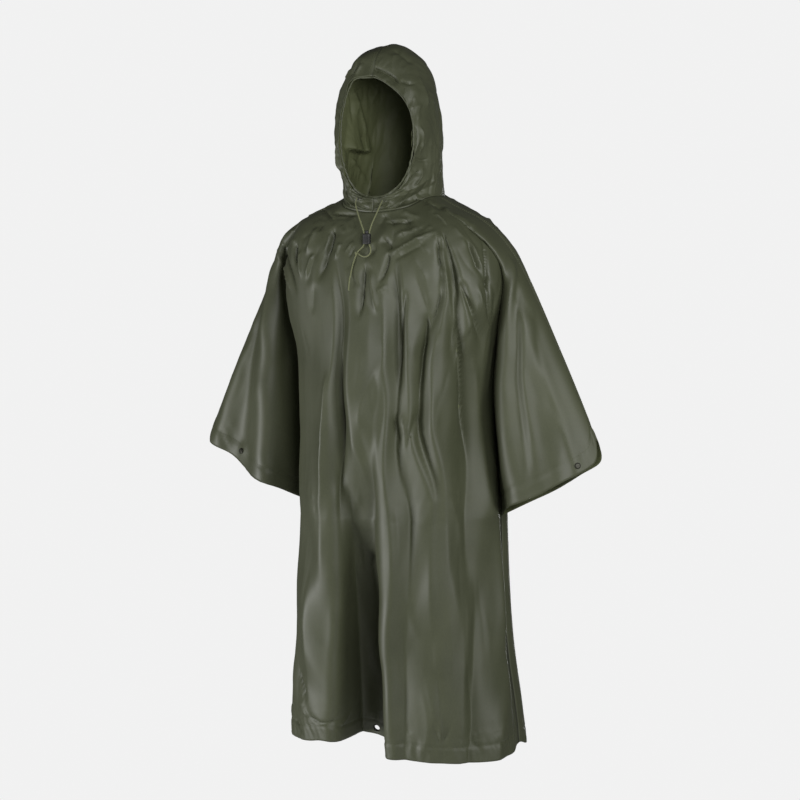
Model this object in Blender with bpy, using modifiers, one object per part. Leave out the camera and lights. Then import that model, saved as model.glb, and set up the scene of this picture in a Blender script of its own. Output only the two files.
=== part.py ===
"""A hooded rain poncho of olive coated nylon, hanging in its worn form.

The wearer faces -Y and the wearer's left is +X. The origin is at the base of the neck, where the
shoulders carry the poncho. The cloth is one front and one back panel with wide sleeves cut in one,
a hood of two halves with a drawcord tunnel round the face, and the cord with its lock and knot.
"""

import math

import bmesh
import bpy
import numpy as np
from mathutils import Vector

# Cloth, in metres.
WALL = 0.0015
GAP = 0.0003
SEAM = 0.0006  # half the room between the front and the back along the shoulders and the arms
NECK_SEAM = 0.0038  # room between the hood and the panels

# A panel is a net of columns that fall from the neck. A column's place is its station: 0 is the
# centre, 1 is the body's side, where the sleeve begins, and 2 is the ridge along shoulder and arm.
# A row's place is its run: 0 is the neck, 1 is the sleeve's end and the underarm, 2 is the hem.
SECTION_COLUMNS = (
    "run", "centre_height", "side_height", "half_width", "shift",
    "centre_reach", "side_reach", "arm_reach",
)
FRONT_SECTIONS = (
    (0.00, -0.030, -0.008, 0.076, 0.000, 0.116, 0.070, 0.045),
    (0.25, -0.108, -0.056, 0.168, 0.000, 0.146, 0.078, 0.074),
    (0.50, -0.235, -0.155, 0.212, 0.010, 0.158, 0.012, 0.062),
    (0.62, -0.315, -0.240, 0.192, 0.007, 0.160, -0.010, 0.068),
    (0.75, -0.405, -0.345, 0.182, 0.000, 0.160, -0.030, 0.070),
    (1.00, -0.590, -0.590, 0.186, -0.001, 0.146, -0.050, 0.055),
    (2.00, -1.027, -1.027, 0.216, 0.004, 0.120, -0.057, 0.050),
)
BACK_SECTIONS = (
    (0.00, 0.006, 0.002, 0.076, 0.000, 0.064, 0.020, 0.045),
    (0.25, -0.065, -0.052, 0.164, 0.000, 0.108, 0.046, 0.052),
    (0.50, -0.200, -0.150, 0.210, 0.010, 0.132, 0.030, 0.046),
    (0.62, -0.285, -0.235, 0.192, 0.007, 0.140, 0.046, 0.054),
    (0.75, -0.385, -0.345, 0.182, 0.000, 0.146, 0.060, 0.060),
    (1.00, -0.590, -0.590, 0.186, -0.001, 0.150, 0.050, 0.050),
    (2.00, -1.030, -1.027, 0.216, 0.004, 0.178, 0.057, 0.050),
)
# The ridge along the shoulder and the top of the arm, where the two panels meet.
RIDGE_COLUMNS = ("run", "x", "y", "z")
RIDGE = (
    (0.00, 0.088, -0.025, 0.000),
    (0.25, 0.176, -0.012, -0.047),
    (0.50, 0.243, -0.008, -0.125),
    (0.75, 0.324, -0.010, -0.288),
    (1.00, 0.404, -0.010, -0.466),
)
# What the shoulders differ by from each other: where along the ridge, and how far out and up.
SHOULDER_COLUMNS = ("hand", "run", "wide", "out", "up")
SHOULDERS = (
    (-1, 0.38, 0.13, 0.011, 0.010),
    (1, 0.13, 0.09, -0.0015, -0.003),
)
SQUARENESS = 0.62  # of the body's cross section
SIDE_LIFT = 1.7  # how late the height changes from the centre to the side
ARM_TURN = 6.0  # how sharply the sleeve turns out of the body's side
ARM_SAG = {1: 0.007, -1: -0.010}  # how far the left and the right sleeve's end hangs down
ARM_SAG_START = 0.5
CORNER = 0.045  # how much of a run the sleeves' outer corners are rounded by
CORNER_WIDE = 0.12
CORNER_START = 0.8

# How far the hem is raised, by station.
HEM_COLUMNS = ("station", "lift")
FRONT_HEM = (
    (-1.00, 0.034), (-0.95, 0.018), (-0.85, 0.009), (-0.45, 0.011), (-0.30, 0.017), (-0.20, 0.005),
    (-0.10, -0.002), (0.00, 0.004), (0.05, 0.002), (0.20, 0.000), (0.85, 0.000), (0.95, 0.002),
    (1.00, 0.010),
)
BACK_HEM = (
    (-1.00, 0.034), (-0.94, 0.032), (-0.70, 0.042), (-0.45, 0.050), (-0.30, 0.050), (0.00, 0.034),
    (0.30, 0.010), (0.60, 0.000), (0.85, 0.000), (0.95, 0.003), (1.00, 0.010),
)
HEM_START = 1.3

# Folds run down the columns. Each starts at a run, and has its station, half width (to the
# wearer's right and to the left) and height (a trough is negative) at the underarm and the hem,
# how square its section is, and how much of its height also moves its right and its left part to
# the left. The second row is the deep fold in the middle of the front, wider inside than outside.
FOLD_COLUMNS = (
    "start", "station_top", "station_level", "station_hem",
    "wide_right", "wide_left", "height_level", "height_hem", "edge",
    "lean_right", "lean_left",
)
FRONT_FOLDS = (
    (0.40, -0.30, -0.32, -0.44, 0.05, 0.05, 0.010, 0.014, 2.0, 0.0, 0.0),
    (0.80, -0.03, -0.03, -0.085, 0.150, 0.120, -0.035, -0.165, 4.0, 0.45, -0.15),
    (0.45, 0.14, 0.15, 0.12, 0.04, 0.04, 0.010, 0.010, 2.0, 0.0, 0.0),
    (0.35, 0.22, 0.26, 0.24, 0.05, 0.05, -0.014, -0.008, 2.0, 0.0, 0.0),
    (0.40, 0.32, 0.40, 0.40, 0.05, 0.06, 0.012, 0.008, 2.0, 0.0, 0.0),
    (0.40, 0.46, 0.54, 0.52, 0.06, 0.06, 0.012, 0.006, 2.0, 0.0, 0.0),
    (0.35, 0.60, 0.74, 0.62, 0.05, 0.05, -0.014, -0.010, 2.0, 0.0, 0.0),
    (0.45, 0.74, 0.86, 0.80, 0.05, 0.05, 0.012, 0.012, 2.0, 0.0, 0.0),
    (0.35, -0.66, -0.66, -0.78, 0.10, 0.10, 0.004, 0.012, 2.0, 0.0, 0.0),
)
BACK_FOLDS = (
    (0.35, -0.70, -0.72, -0.70, 0.08, 0.08, 0.010, 0.022, 2.0, 0.0, 0.0),
    (0.30, -0.48, -0.50, -0.52, 0.08, 0.07, -0.012, -0.024, 2.0, 0.0, 0.0),
    (0.40, -0.28, -0.30, -0.34, 0.08, 0.08, 0.012, 0.024, 2.0, 0.0, 0.0),
    (0.25, -0.10, -0.08, -0.10, 0.07, 0.09, -0.012, -0.030, 2.0, 0.0, 0.0),
    (0.45, 0.12, 0.14, 0.12, 0.07, 0.07, 0.012, 0.020, 2.0, 0.0, 0.0),
    (0.30, 0.30, 0.33, 0.34, 0.06, 0.08, -0.012, -0.026, 2.0, 0.0, 0.0),
    (0.40, 0.50, 0.54, 0.55, 0.08, 0.08, 0.012, 0.022, 2.0, 0.0, 0.0),
    (0.30, 0.74, 0.76, 0.75, 0.07, 0.07, -0.008, -0.018, 2.0, 0.0, 0.0),
)
# Folds of the sleeves run from the shoulder to the sleeve's end.
SLEEVE_FOLD_COLUMNS = ("start", "station_top", "station_level", "half_width", "height")
FRONT_SLEEVE_FOLDS = {
    "left": (
        (0.45, 1.22, 1.22, 0.09, 0.012),
        (0.50, 1.42, 1.44, 0.09, -0.008),
        (0.45, 1.62, 1.62, 0.08, 0.007),
    ),
    "right": (
        (0.40, 1.22, 1.24, 0.09, 0.014),
        (0.45, 1.46, 1.48, 0.09, -0.010),
        (0.50, 1.66, 1.68, 0.08, 0.006),
    ),
}
BACK_SLEEVE_FOLDS = {
    "left": ((0.40, 1.25, 1.28, 0.10, 0.010), (0.45, 1.55, 1.55, 0.10, -0.008)),
    "right": ((0.45, 1.30, 1.30, 0.10, 0.010), (0.40, 1.58, 1.58, 0.10, -0.008)),
}

LEAN_BLEND = 0.16  # stations between the part that leans right and the part that leans left
FOLD_GROWTH = 0.8  # how early a fold deepens below the underarm
FOLD_RISE = 0.5  # how much of a fold's height may move the cloth up or down
FOLD_LEVEL = 1.3  # below this run a fold only moves the cloth sideways
FOLD_FADE = 0.6
RIDGE_FADE = 0.25
UNDERARM_START = 0.8
UNDERARM_WIDE = 0.10
RIDGE_SEAM = 0.08  # how far from a seam, in stations, the panels make room for it
SIDE_SEAM = 0.04
SIDE_SEAM_START = 0.9

NUDGE = 1e-3  # the step in station and run by which a direction on a panel is taken

# How finely the panels are cut.
FRONT_BODY_COLUMNS = 48
BACK_BODY_COLUMNS = 32
SLEEVE_COLUMNS = 9
UPPER_ROWS = 14
LOWER_ROWS = 8

# The hood: a bent tube from the face opening to the neck.
HOOD_PROFILE_COLUMNS = ("share", "y", "z", "half_width", "chin_y", "chin_z")
HOOD_PROFILE = (
    (0.00, -0.113, 0.216, 0.079, -0.112, -0.005),
    (0.12, -0.094, 0.253, 0.084, -0.112, -0.009),
    (0.30, -0.034, 0.273, 0.088, -0.112, -0.014),
    (0.50, 0.028, 0.244, 0.089, -0.113, -0.019),
    (0.68, 0.056, 0.172, 0.089, -0.114, -0.023),
    (0.85, 0.060, 0.088, 0.088, -0.115, -0.027),
    (1.00, 0.064, 0.006, 0.088, -0.116, -0.030),
)
HOOD_ROUND = 0.86  # the roundness of its rings
# The face opening is turned a little to the left: its left and right half differ from the rings
# behind them in width, as a share, and in their roundness at the top.
FACE_WIDER = {1: 0.03, -1: -0.14}
FACE_ROUND = {1: 1.55, -1: 0.42}
FACE_FADE = 0.20  # the share by which that difference ends
HOOD_SETTLE = 0.72  # from this share on the hood takes the form of the neck seam
HOOD_ROWS = 14
HOOD_COLUMNS = 16
TUNNEL_WIDE = 0.007
TUNNEL_THICK = 0.0036
TUNNEL_LOOK = 0.06  # the share from which the tunnel's direction is taken
TUNNEL_STEPS = 44
TUNNEL_SIDES = 6

# The drawcord: where it leaves the hood, its route to the lock, and what hangs below.
CORD = 0.0024
EYELETS = (("right", -0.0316), ("left", 0.0196))
EYELET_SHARE = 0.16  # where the eyelets are between the face opening and the neck seam
EYELET_RISE = 0.0012
EYELET_PROFILE = ((0.0017, 0.0010), (0.0034, 0.0012), (0.0040, 0.0006), (0.0040, 0.0), (0.0017, 0.0))
LOCK_PLACE = (0.0045, -0.1500, -0.0770)
LOCK_SIZE = (0.0150, 0.0105, 0.0190)
LOCK_ROUND = 0.0030
BUTTON_RADIUS = 0.0031
BUTTON_TALL = 0.0055
KNOT_PLACE = (-0.0160, -0.1505, -0.1030)
KNOT_SIZE = (0.0072, 0.0062, 0.0078)
CORD_ROUTES = {
    "cord_right": (
        (-0.0316, -0.1180, -0.0040), (-0.0285, -0.1280, -0.0130), (-0.0180, -0.1390, -0.0330),
        (-0.0080, -0.1470, -0.0500), (-0.0008, -0.1500, -0.0672),
    ),
    "cord_left": (
        (0.0196, -0.1180, -0.0085), (0.0205, -0.1280, -0.0170), (0.0170, -0.1380, -0.0340),
        (0.0125, -0.1460, -0.0510), (0.0096, -0.1500, -0.0672),
    ),
    "cord_loop": (
        (0.0096, -0.1500, -0.0868), (0.0128, -0.1512, -0.0945), (0.0120, -0.1520, -0.1030),
        (0.0050, -0.1525, -0.1085), (-0.0045, -0.1520, -0.1078), (-0.0118, -0.1508, -0.1038),
    ),
    "cord_lead": (
        (-0.0008, -0.1500, -0.0868), (-0.0050, -0.1506, -0.0930), (-0.0130, -0.1506, -0.0992),
    ),
    "cord_tail": (
        (-0.0170, -0.1510, -0.1074), (-0.0200, -0.1540, -0.1180), (-0.0225, -0.1580, -0.1350),
        (-0.0240, -0.1630, -0.1520), (-0.0236, -0.1670, -0.1690),
    ),
}
CORD_STEP = 0.0050

# Press studs near the sleeves' lower corners, and the eyelets in the middle of the hem.
STUD_COLUMNS = ("name", "side", "station", "run")
STUDS = (
    ("stud_left_front", -1, 1.645, 0.982),
    ("stud_left_back", 1, 1.645, 0.982),
    ("stud_right_front", -1, -1.420, 0.973),
    ("stud_right_back", 1, -1.420, 0.973),
)
STUD_PROFILE = ((0.0, 0.0024), (0.0038, 0.0022), (0.0054, 0.0012), (0.0056, 0.0), (0.0, 0.0))
STUD_RISE = 0.0008
GROMMET_COLUMNS = ("name", "side", "station", "run")
GROMMETS = (("grommet_front", -1, -0.112, 1.971), ("grommet_back", 1, -0.020, 1.970))
GROMMET_PROFILE = (
    (0.0058, 0.0018), (0.0068, 0.0026), (0.0086, 0.0016), (0.0086, -0.0016),
    (0.0068, -0.0026), (0.0058, -0.0018),
)
GROMMET_SIDES = 24
HOLE_DEEP = 0.03
SMALL_SIDES = 16  # of the studs, the eyelets and the lock's button
SCREW_MERGE = 1e-5
CORD_BEVEL = 2
LOCK_SEGMENTS = 3
KNOT_SEGMENTS = 14
KNOT_RINGS = 9

SURFACE_COLUMNS = ("colour", "roughness", "metallic")
SURFACES = {
    "olive_nylon": ((0.080, 0.087, 0.056, 1.0), 0.45, 0.0),
    "cord": ((0.30, 0.31, 0.22, 1.0), 0.8, 0.0),
    "black_plastic": ((0.012, 0.012, 0.012, 1.0), 0.45, 0.0),
    "dark_metal": ((0.035, 0.036, 0.030, 1.0), 0.4, 0.8),
}


def clear_scene():
    for thing in list(bpy.data.objects):
        bpy.data.objects.remove(thing, do_unlink=True)


def collection(name):
    made = bpy.data.collections.new(name)
    bpy.context.scene.collection.children.link(made)
    return made


def material(name):
    made = bpy.data.materials.new(name)
    made.use_nodes = True
    shader = made.node_tree.nodes["Principled BSDF"]
    surface = dict(zip(SURFACE_COLUMNS, SURFACES[name]))
    shader.inputs["Base Color"].default_value = surface["colour"]
    shader.inputs["Roughness"].default_value = surface["roughness"]
    shader.inputs["Metallic"].default_value = surface["metallic"]
    return made


def through(table, name, names, at):
    """A smooth curve through one named column of a table, read at the places given."""
    rows = np.array(table, float)
    knots = rows[:, 0]
    values = rows[:, names.index(name)]
    slopes = np.gradient(values, knots)
    at = np.clip(np.asarray(at, float), knots[0], knots[-1])
    low = np.clip(np.searchsorted(knots, at, side="right") - 1, 0, len(knots) - 2)
    step = knots[low + 1] - knots[low]
    s = (at - knots[low]) / step
    start = (1 + 2 * s) * (1 - s) ** 2 * values[low] + s * (1 - s) ** 2 * step * slopes[low]
    end = s * s * (3 - 2 * s) * values[low + 1] + s * s * (s - 1) * step * slopes[low + 1]
    return start + end


def ease(value):
    """From 0 to 1 with level ends."""
    s = np.clip(value, 0.0, 1.0)
    return s * s * (3 - 2 * s)


def bell(distance, wide, edge=2.0):
    """1 in the middle and fading out about the width away; a high edge makes its sides steep."""
    return np.exp(-(np.abs(distance / wide) ** edge))


def panel_base(side, station, run):
    """Points of the unfolded panel: side is -1 for the front and +1 for the back."""
    table = FRONT_SECTIONS if side < 0 else BACK_SECTIONS
    corner = CORNER * bell(2 - np.abs(station), CORNER_WIDE)
    corner = corner * ease((run - CORNER_START) / (1 - CORNER_START))
    size = {name: through(table, name, SECTION_COLUMNS, run) for name in SECTION_COLUMNS[1:]}
    ridge = {name: through(RIDGE, name, RIDGE_COLUMNS, run - corner) for name in RIDGE_COLUMNS[1:]}
    # Below the underarm the two panels share one straight side seam.
    reach = SECTION_COLUMNS.index("side_reach")
    seam = table[-2][reach] + (table[-1][reach] - table[-2][reach]) * (run - 1)
    size["side_reach"] = np.where(run > 1, seam, size["side_reach"])
    hand = np.sign(station)
    place = np.abs(station)
    for row in SHOULDERS:
        shoulder = dict(zip(SHOULDER_COLUMNS, row))
        near = bell(run - shoulder["run"], shoulder["wide"]) * (hand == shoulder["hand"])
        ridge["x"] = ridge["x"] + shoulder["out"] * near
        ridge["z"] = ridge["z"] + shoulder["up"] * near

    turn = np.clip(place, 0, 1) * math.pi / 2
    body_x = size["half_width"] * np.sin(turn)
    bulge = (size["centre_reach"] - size["side_reach"]) * np.cos(turn).clip(0) ** SQUARENESS
    body_y = side * (size["side_reach"] + bulge)
    lift = np.clip(place, 0, 1) ** SIDE_LIFT
    body_z = size["centre_height"] + (size["side_height"] - size["centre_height"]) * lift
    hem = FRONT_HEM if side < 0 else BACK_HEM
    raised = through(hem, "lift", HEM_COLUMNS, station)
    body_z = body_z + raised * ease((run - HEM_START) / (2 - HEM_START))

    out = np.clip(place - 1, 0, 1)
    share = np.sin(out * math.pi / 2)
    arm_x = size["half_width"] + (ridge["x"] - size["half_width"]) * share
    arm_z = size["side_height"] + (ridge["z"] - size["side_height"]) * share
    sag = np.where(hand > 0, ARM_SAG[1], ARM_SAG[-1])
    arm_z = arm_z - sag * np.sin(out * math.pi) * ease((run - ARM_SAG_START) / (1 - ARM_SAG_START))
    step = side * size["side_reach"] - ridge["y"] - side * size["arm_reach"]
    arm_y = ridge["y"] + side * size["arm_reach"] * np.cos(out * math.pi / 2)
    arm_y = arm_y + step * (1 - out) ** ARM_TURN

    on_arm = place > 1
    x = hand * np.where(on_arm, arm_x, body_x) + size["shift"] * np.where(on_arm, 1 - share, 1)
    y = np.where(on_arm, arm_y, body_y)
    z = np.where(on_arm, arm_z, body_z)
    return np.stack([x, y, z], axis=-1)


def fold_moves(side, station, run):
    """How far the folds move the panel out, and how far they lean to the left, in metres."""
    total = np.zeros(np.broadcast(station, run).shape)
    leaning = np.zeros(total.shape)
    for row in FRONT_FOLDS if side < 0 else BACK_FOLDS:
        fold = dict(zip(FOLD_COLUMNS, row))
        upper = (run - fold["start"]) / (1 - fold["start"])
        lower = np.clip(run - 1, 0, 1)
        drift = (fold["station_level"] - fold["station_top"]) * np.clip(upper, 0, 1)
        centre = fold["station_top"] + drift
        centre = centre + (fold["station_hem"] - fold["station_level"]) * lower
        growth = fold["height_hem"] - fold["height_level"]
        height = fold["height_level"] * ease(upper) + growth * lower ** FOLD_GROWTH
        wide = np.where(station < centre, fold["wide_right"], fold["wide_left"])
        move = height * bell(station - centre, wide, fold["edge"])
        total = total + move
        share = ease((station - centre) / LEAN_BLEND + 0.5)
        leaning = leaning + move * (fold["lean_right"] * (1 - share) + fold["lean_left"] * share)
    sleeves = FRONT_SLEEVE_FOLDS if side < 0 else BACK_SLEEVE_FOLDS
    for hand, name in ((1, "left"), (-1, "right")):
        for row in sleeves[name]:
            fold = dict(zip(SLEEVE_FOLD_COLUMNS, row))
            upper = np.clip((run - fold["start"]) / (1 - fold["start"]), 0, 1)
            drift = (fold["station_level"] - fold["station_top"]) * upper
            centre = fold["station_top"] + drift
            near = bell(hand * station - centre, fold["half_width"])
            total = total + fold["height"] * ease(upper) * near
    ridge = ease((2 - np.abs(station)) / RIDGE_FADE)
    underarm = ease((run - UNDERARM_START) / (1 - UNDERARM_START))
    seam = 1 - underarm * bell(np.abs(station) - 1, UNDERARM_WIDE)
    return total * seam * np.where(np.abs(station) > 1, ridge, 1.0), leaning * seam


def panel_points(side, station, run):
    """Points of the folded panel, with room for the seams."""
    base = panel_base(side, station, run)
    ahead = np.minimum(run + NUDGE, 2.0)
    along = panel_base(side, station, ahead) - panel_base(side, station, ahead - 2 * NUDGE)
    across = panel_base(side, station + NUDGE, run) - panel_base(side, station - NUDGE, run)
    out = np.cross(across, along) * side
    out = out / np.maximum(np.linalg.norm(out, axis=-1, keepdims=True), 1e-9)
    out[..., 2] *= FOLD_RISE * ease((FOLD_LEVEL - run) / FOLD_FADE)
    height, leaning = fold_moves(side, station, run)
    points = base + out * height[..., None]
    points[..., 0] += leaning
    ridge = bell(2 - np.abs(station), RIDGE_SEAM)
    below = ease((run - SIDE_SEAM_START) / (1 - SIDE_SEAM_START))
    below = below * bell(np.abs(station) - 1, SIDE_SEAM)
    points[..., 1] += side * SEAM * (ridge + below)
    return points


def net_mesh(name, rows):
    """A mesh from rows of points; rows may differ in where they start along the widest row."""
    mesh = bpy.data.meshes.new(name)
    work = bmesh.new()
    made = [{at: work.verts.new(point) for at, point in row.items()} for row in rows]
    for upper, lower in zip(made, made[1:]):
        for at in sorted(lower):
            corners = (upper.get(at), upper.get(at + 1), lower.get(at + 1), lower.get(at))
            if all(corners):
                work.faces.new(corners)
    work.to_mesh(mesh)
    work.free()
    return mesh


def add_object(name, mesh, group, surface):
    made = bpy.data.objects.new(name, mesh)
    group.objects.link(made)
    mesh.materials.append(surface)
    return made


def thicken(thing, wall=WALL, offset=1.0):
    shell = thing.modifiers.new("wall", "SOLIDIFY")
    shell.thickness = wall
    shell.offset = offset


def panel(name, side, body_columns, group, surface):
    """A front or back panel with its sleeves, one wall from the neck to the hem."""
    body = np.linspace(-1, 1, body_columns + 1)
    arm = np.linspace(1, 2, SLEEVE_COLUMNS + 1)[1:]
    stations = np.concatenate([-arm[::-1], body, arm])
    on_body = np.abs(stations) < 1 + 1e-9
    runs = np.concatenate([np.linspace(0, 1, UPPER_ROWS + 1), np.linspace(1, 2, LOWER_ROWS + 1)[1:]])
    rows = []
    for run in runs:
        points = panel_points(side, stations, np.full(len(stations), run))
        kept = on_body | (run < 1 + 1e-9)
        rows.append({at: points[at] for at in np.flatnonzero(kept)})
    mesh = net_mesh(name, rows)
    if side < 0:
        mesh.flip_normals()
    made = add_object(name, mesh, group, surface)
    thicken(made)
    mesh.shade_smooth()
    return made


def neck_ring(turn):
    """The neck seam. A turn of 0 is the front, 1 the wearer's left side and 2 the nape."""
    front = panel_points(-1, 2 * np.clip(turn, 0, 1), np.zeros(len(turn)))
    back = panel_points(1, 2 * np.clip(2 - turn, 0, 1), np.zeros(len(turn)))
    return np.where((turn <= 1)[:, None], front, back)


def hood_points(share, turn, hand):
    """Points of one half of the hood, as if it were the left: share 0 is the face opening."""
    names = HOOD_PROFILE_COLUMNS
    read = {name: float(through(HOOD_PROFILE, name, names, share)) for name in names[1:]}
    crown = np.array([0, read["y"], read["z"]])
    chin = np.array([0, read["chin_y"], read["chin_z"]])
    angle = turn * math.pi / 2
    middle = (crown + chin) / 2
    ring = middle + np.outer(-np.cos(angle), (crown - chin) / 2)
    opening = 1 - ease(share / FACE_FADE)
    half_width = read["half_width"] * (1 + FACE_WIDER[hand] * opening)
    round_ = HOOD_ROUND + (FACE_ROUND[hand] - HOOD_ROUND) * opening * ease(turn - 1)
    ring[:, 0] = half_width * np.sin(angle).clip(0) ** round_
    seam = neck_ring(turn)
    seam[:, 2] += NECK_SEAM
    settle = ease((share - HOOD_SETTLE) / (1 - HOOD_SETTLE))
    return ring * (1 - settle) + seam * settle


def hood_half(name, hand, group, surface):
    """Half of the hood, from the seam over the head to the seam under the chin."""
    turns = np.linspace(0, 2, HOOD_COLUMNS + 1)
    rows = []
    for share in np.linspace(0, 1, HOOD_ROWS + 1):
        points = hood_points(share, turns, hand)
        points[:, 0] = hand * (points[:, 0] + SEAM / 2)
        rows.append(dict(enumerate(points)))
    mesh = net_mesh(name, rows)
    if hand > 0:
        mesh.flip_normals()
    made = add_object(name, mesh, group, surface)
    thicken(made)
    mesh.shade_smooth()
    return made


def face_ring(share, turns):
    """A whole ring of the hood, a turn of 0 and 4 at the chin and 2 at the crown."""
    left = hood_points(share, np.minimum(turns, 4 - turns), 1)
    right = hood_points(share, np.minimum(turns, 4 - turns), -1)
    right[:, 0] *= -1
    return np.where((turns > 2)[:, None], right, left)


def tunnel(group, surface):
    """The drawcord tunnel: a flat tube round the face opening, just ahead of the hood's edge."""
    mesh = bpy.data.meshes.new("hood_tunnel")
    work = bmesh.new()
    rings = []
    turns = 4 * np.arange(TUNNEL_STEPS) / TUNNEL_STEPS
    edges = face_ring(0.0, turns)
    inners = face_ring(TUNNEL_LOOK, turns)
    for step in range(TUNNEL_STEPS):
        edge = edges[step]
        along = edge - inners[step]
        along /= np.linalg.norm(along)
        around = edges[(step + 1) % TUNNEL_STEPS] - edges[step - 1]
        out = np.cross(along, around)
        out /= np.linalg.norm(out)
        centre = edge + along * (TUNNEL_WIDE / 2 + 2 * GAP) + out * WALL / 2
        ring = []
        for side in range(TUNNEL_SIDES):
            round_ = 2 * math.pi * (side + 0.5) / TUNNEL_SIDES
            point = centre + along * math.cos(round_) * TUNNEL_WIDE / 2
            point = point + out * math.sin(round_) * TUNNEL_THICK / 2
            ring.append(work.verts.new(point))
        rings.append(ring)
    for at in range(TUNNEL_STEPS):
        here, ahead = rings[at], rings[(at + 1) % TUNNEL_STEPS]
        for side in range(TUNNEL_SIDES):
            after = (side + 1) % TUNNEL_SIDES
            work.faces.new((here[side], ahead[side], ahead[after], here[after]))
    bmesh.ops.recalc_face_normals(work, faces=work.faces)
    work.to_mesh(mesh)
    work.free()
    mesh.shade_smooth()
    return add_object("hood_tunnel", mesh, group, surface)


def outward_frame(points_at, first, second):
    """A place on a cloth and its outward normal, from its point function."""
    place = points_at(first, second)
    one = points_at(first + NUDGE, second) - points_at(first - NUDGE, second)
    two = points_at(first, second + NUDGE) - points_at(first, second - NUDGE)
    normal = Vector(np.cross(one, two)).normalized()
    return Vector(place), normal


def panel_frame(side, station, run):
    def points_at(where, down):
        return panel_points(side, np.array([where]), np.array([down]))[0]

    place, normal = outward_frame(points_at, station, run)
    if normal.y * side < 0:
        normal.negate()
    return place, normal


def turned(name, profile, place, normal, sides, closed, group, surface):
    """A turned piece about the normal at a place."""
    mesh = bpy.data.meshes.new(name)
    count = len(profile)
    edges = [(at, at + 1) for at in range(count - 1)]
    if closed:
        edges.append((count - 1, 0))
    mesh.from_pydata([(radius, 0, height) for radius, height in profile], edges, [])
    made = add_object(name, mesh, group, surface)
    made.location = place
    made.rotation_euler = normal.to_track_quat("Z", "Y").to_euler()
    screw = made.modifiers.new("turn", "SCREW")
    screw.steps = sides
    screw.render_steps = sides
    screw.use_merge_vertices = True
    screw.merge_threshold = SCREW_MERGE
    screw.use_smooth_shade = True
    return made


def grommet(name, side, station, run, group, cutters, surface):
    """A metal eyelet in the hem, in a hole through the panel."""
    place, normal = panel_frame(side, station, run)
    place = place + normal * WALL / 2
    turned(name, GROMMET_PROFILE, place, normal, GROMMET_SIDES, True, group, surface)
    radius = max(row[0] for row in GROMMET_PROFILE) + 2 * GAP
    bpy.ops.mesh.primitive_cylinder_add(vertices=GROMMET_SIDES, radius=radius, depth=HOLE_DEEP)
    cutter = bpy.context.object
    cutter.name = f"cut_{name}"
    cutter.location = place
    cutter.rotation_euler = normal.to_track_quat("Z", "Y").to_euler()
    cutter.hide_render = True
    cutter.display_type = "WIRE"
    for owner in list(cutter.users_collection):
        owner.objects.unlink(cutter)
    cutters.objects.link(cutter)
    return cutter


def cut(thing, cutter):
    hole = thing.modifiers.new("hole", "BOOLEAN")
    hole.operation = "DIFFERENCE"
    hole.solver = "EXACT"
    hole.object = cutter


def studs(group, surface):
    for row in STUDS:
        stud = dict(zip(STUD_COLUMNS, row))
        place, normal = panel_frame(stud["side"], stud["station"], stud["run"])
        place = place + normal * (WALL + STUD_RISE)
        turned(stud["name"], STUD_PROFILE, place, normal, SMALL_SIDES, False, group, surface)


def eyelets(group, surface):
    """Two small metal eyelets under the chin, where the drawcord comes out."""
    turns = np.linspace(0, 1, 100)
    for name, x in EYELETS:
        hand = int(math.copysign(1, x))

        def hood_at(share, turn, hand=hand):
            return hood_points(share, np.array([turn]), hand)[0]

        turn = np.interp(abs(x), hood_points(EYELET_SHARE, turns, hand)[:, 0], turns)
        place, normal = outward_frame(hood_at, EYELET_SHARE, turn)
        if normal.y > 0:
            normal.negate()
        place.x *= hand
        normal.x *= hand
        place = place + normal * (WALL + EYELET_RISE)
        turned(f"eyelet_{name}", EYELET_PROFILE, place, normal, SMALL_SIDES, True, group, surface)


def smooth_route(points, step):
    """Points about a step apart on a smooth curve through the route's own points."""
    route = np.array(points, float)
    lengths = np.linalg.norm(np.diff(route, axis=0), axis=1)
    knots = np.concatenate([[0], np.cumsum(lengths)])
    count = max(4, math.ceil(knots[-1] / step) + 1)
    at = np.linspace(0, knots[-1], count)
    axes = []
    for axis in range(3):
        table = np.stack([knots, route[:, axis]], axis=1)
        axes.append(through(table, "value", ("at", "value"), at))
    return np.stack(axes, axis=1)


def cord_piece(name, points, group, surface):
    curve = bpy.data.curves.new(name, "CURVE")
    curve.dimensions = "3D"
    curve.bevel_depth = CORD / 2
    curve.bevel_resolution = CORD_BEVEL
    curve.use_fill_caps = True
    line = smooth_route(points, CORD_STEP)
    spline = curve.splines.new("POLY")
    spline.points.add(len(line) - 1)
    for point, place in zip(spline.points, line):
        point.co = (*place, 1.0)
    curve.materials.append(surface)
    made = bpy.data.objects.new(name, curve)
    group.objects.link(made)
    return made


def cord_lock(group, surface):
    bpy.ops.mesh.primitive_cube_add(size=1, location=LOCK_PLACE)
    body = bpy.context.object
    body.name = "cord_lock"
    for corner in body.data.vertices:
        corner.co = [c * size for c, size in zip(corner.co, LOCK_SIZE)]
    soft = body.modifiers.new("round", "BEVEL")
    soft.width = LOCK_ROUND
    soft.segments = LOCK_SEGMENTS
    x, y, z = LOCK_PLACE
    top = z + LOCK_SIZE[2] / 2 + GAP + BUTTON_TALL / 2
    bpy.ops.mesh.primitive_cylinder_add(
        vertices=SMALL_SIDES, radius=BUTTON_RADIUS, depth=BUTTON_TALL, location=(x, y, top)
    )
    button = bpy.context.object
    button.name = "cord_lock_button"
    for thing in (body, button):
        thing.data.materials.append(surface)
        for owner in list(thing.users_collection):
            owner.objects.unlink(thing)
        group.objects.link(thing)


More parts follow.
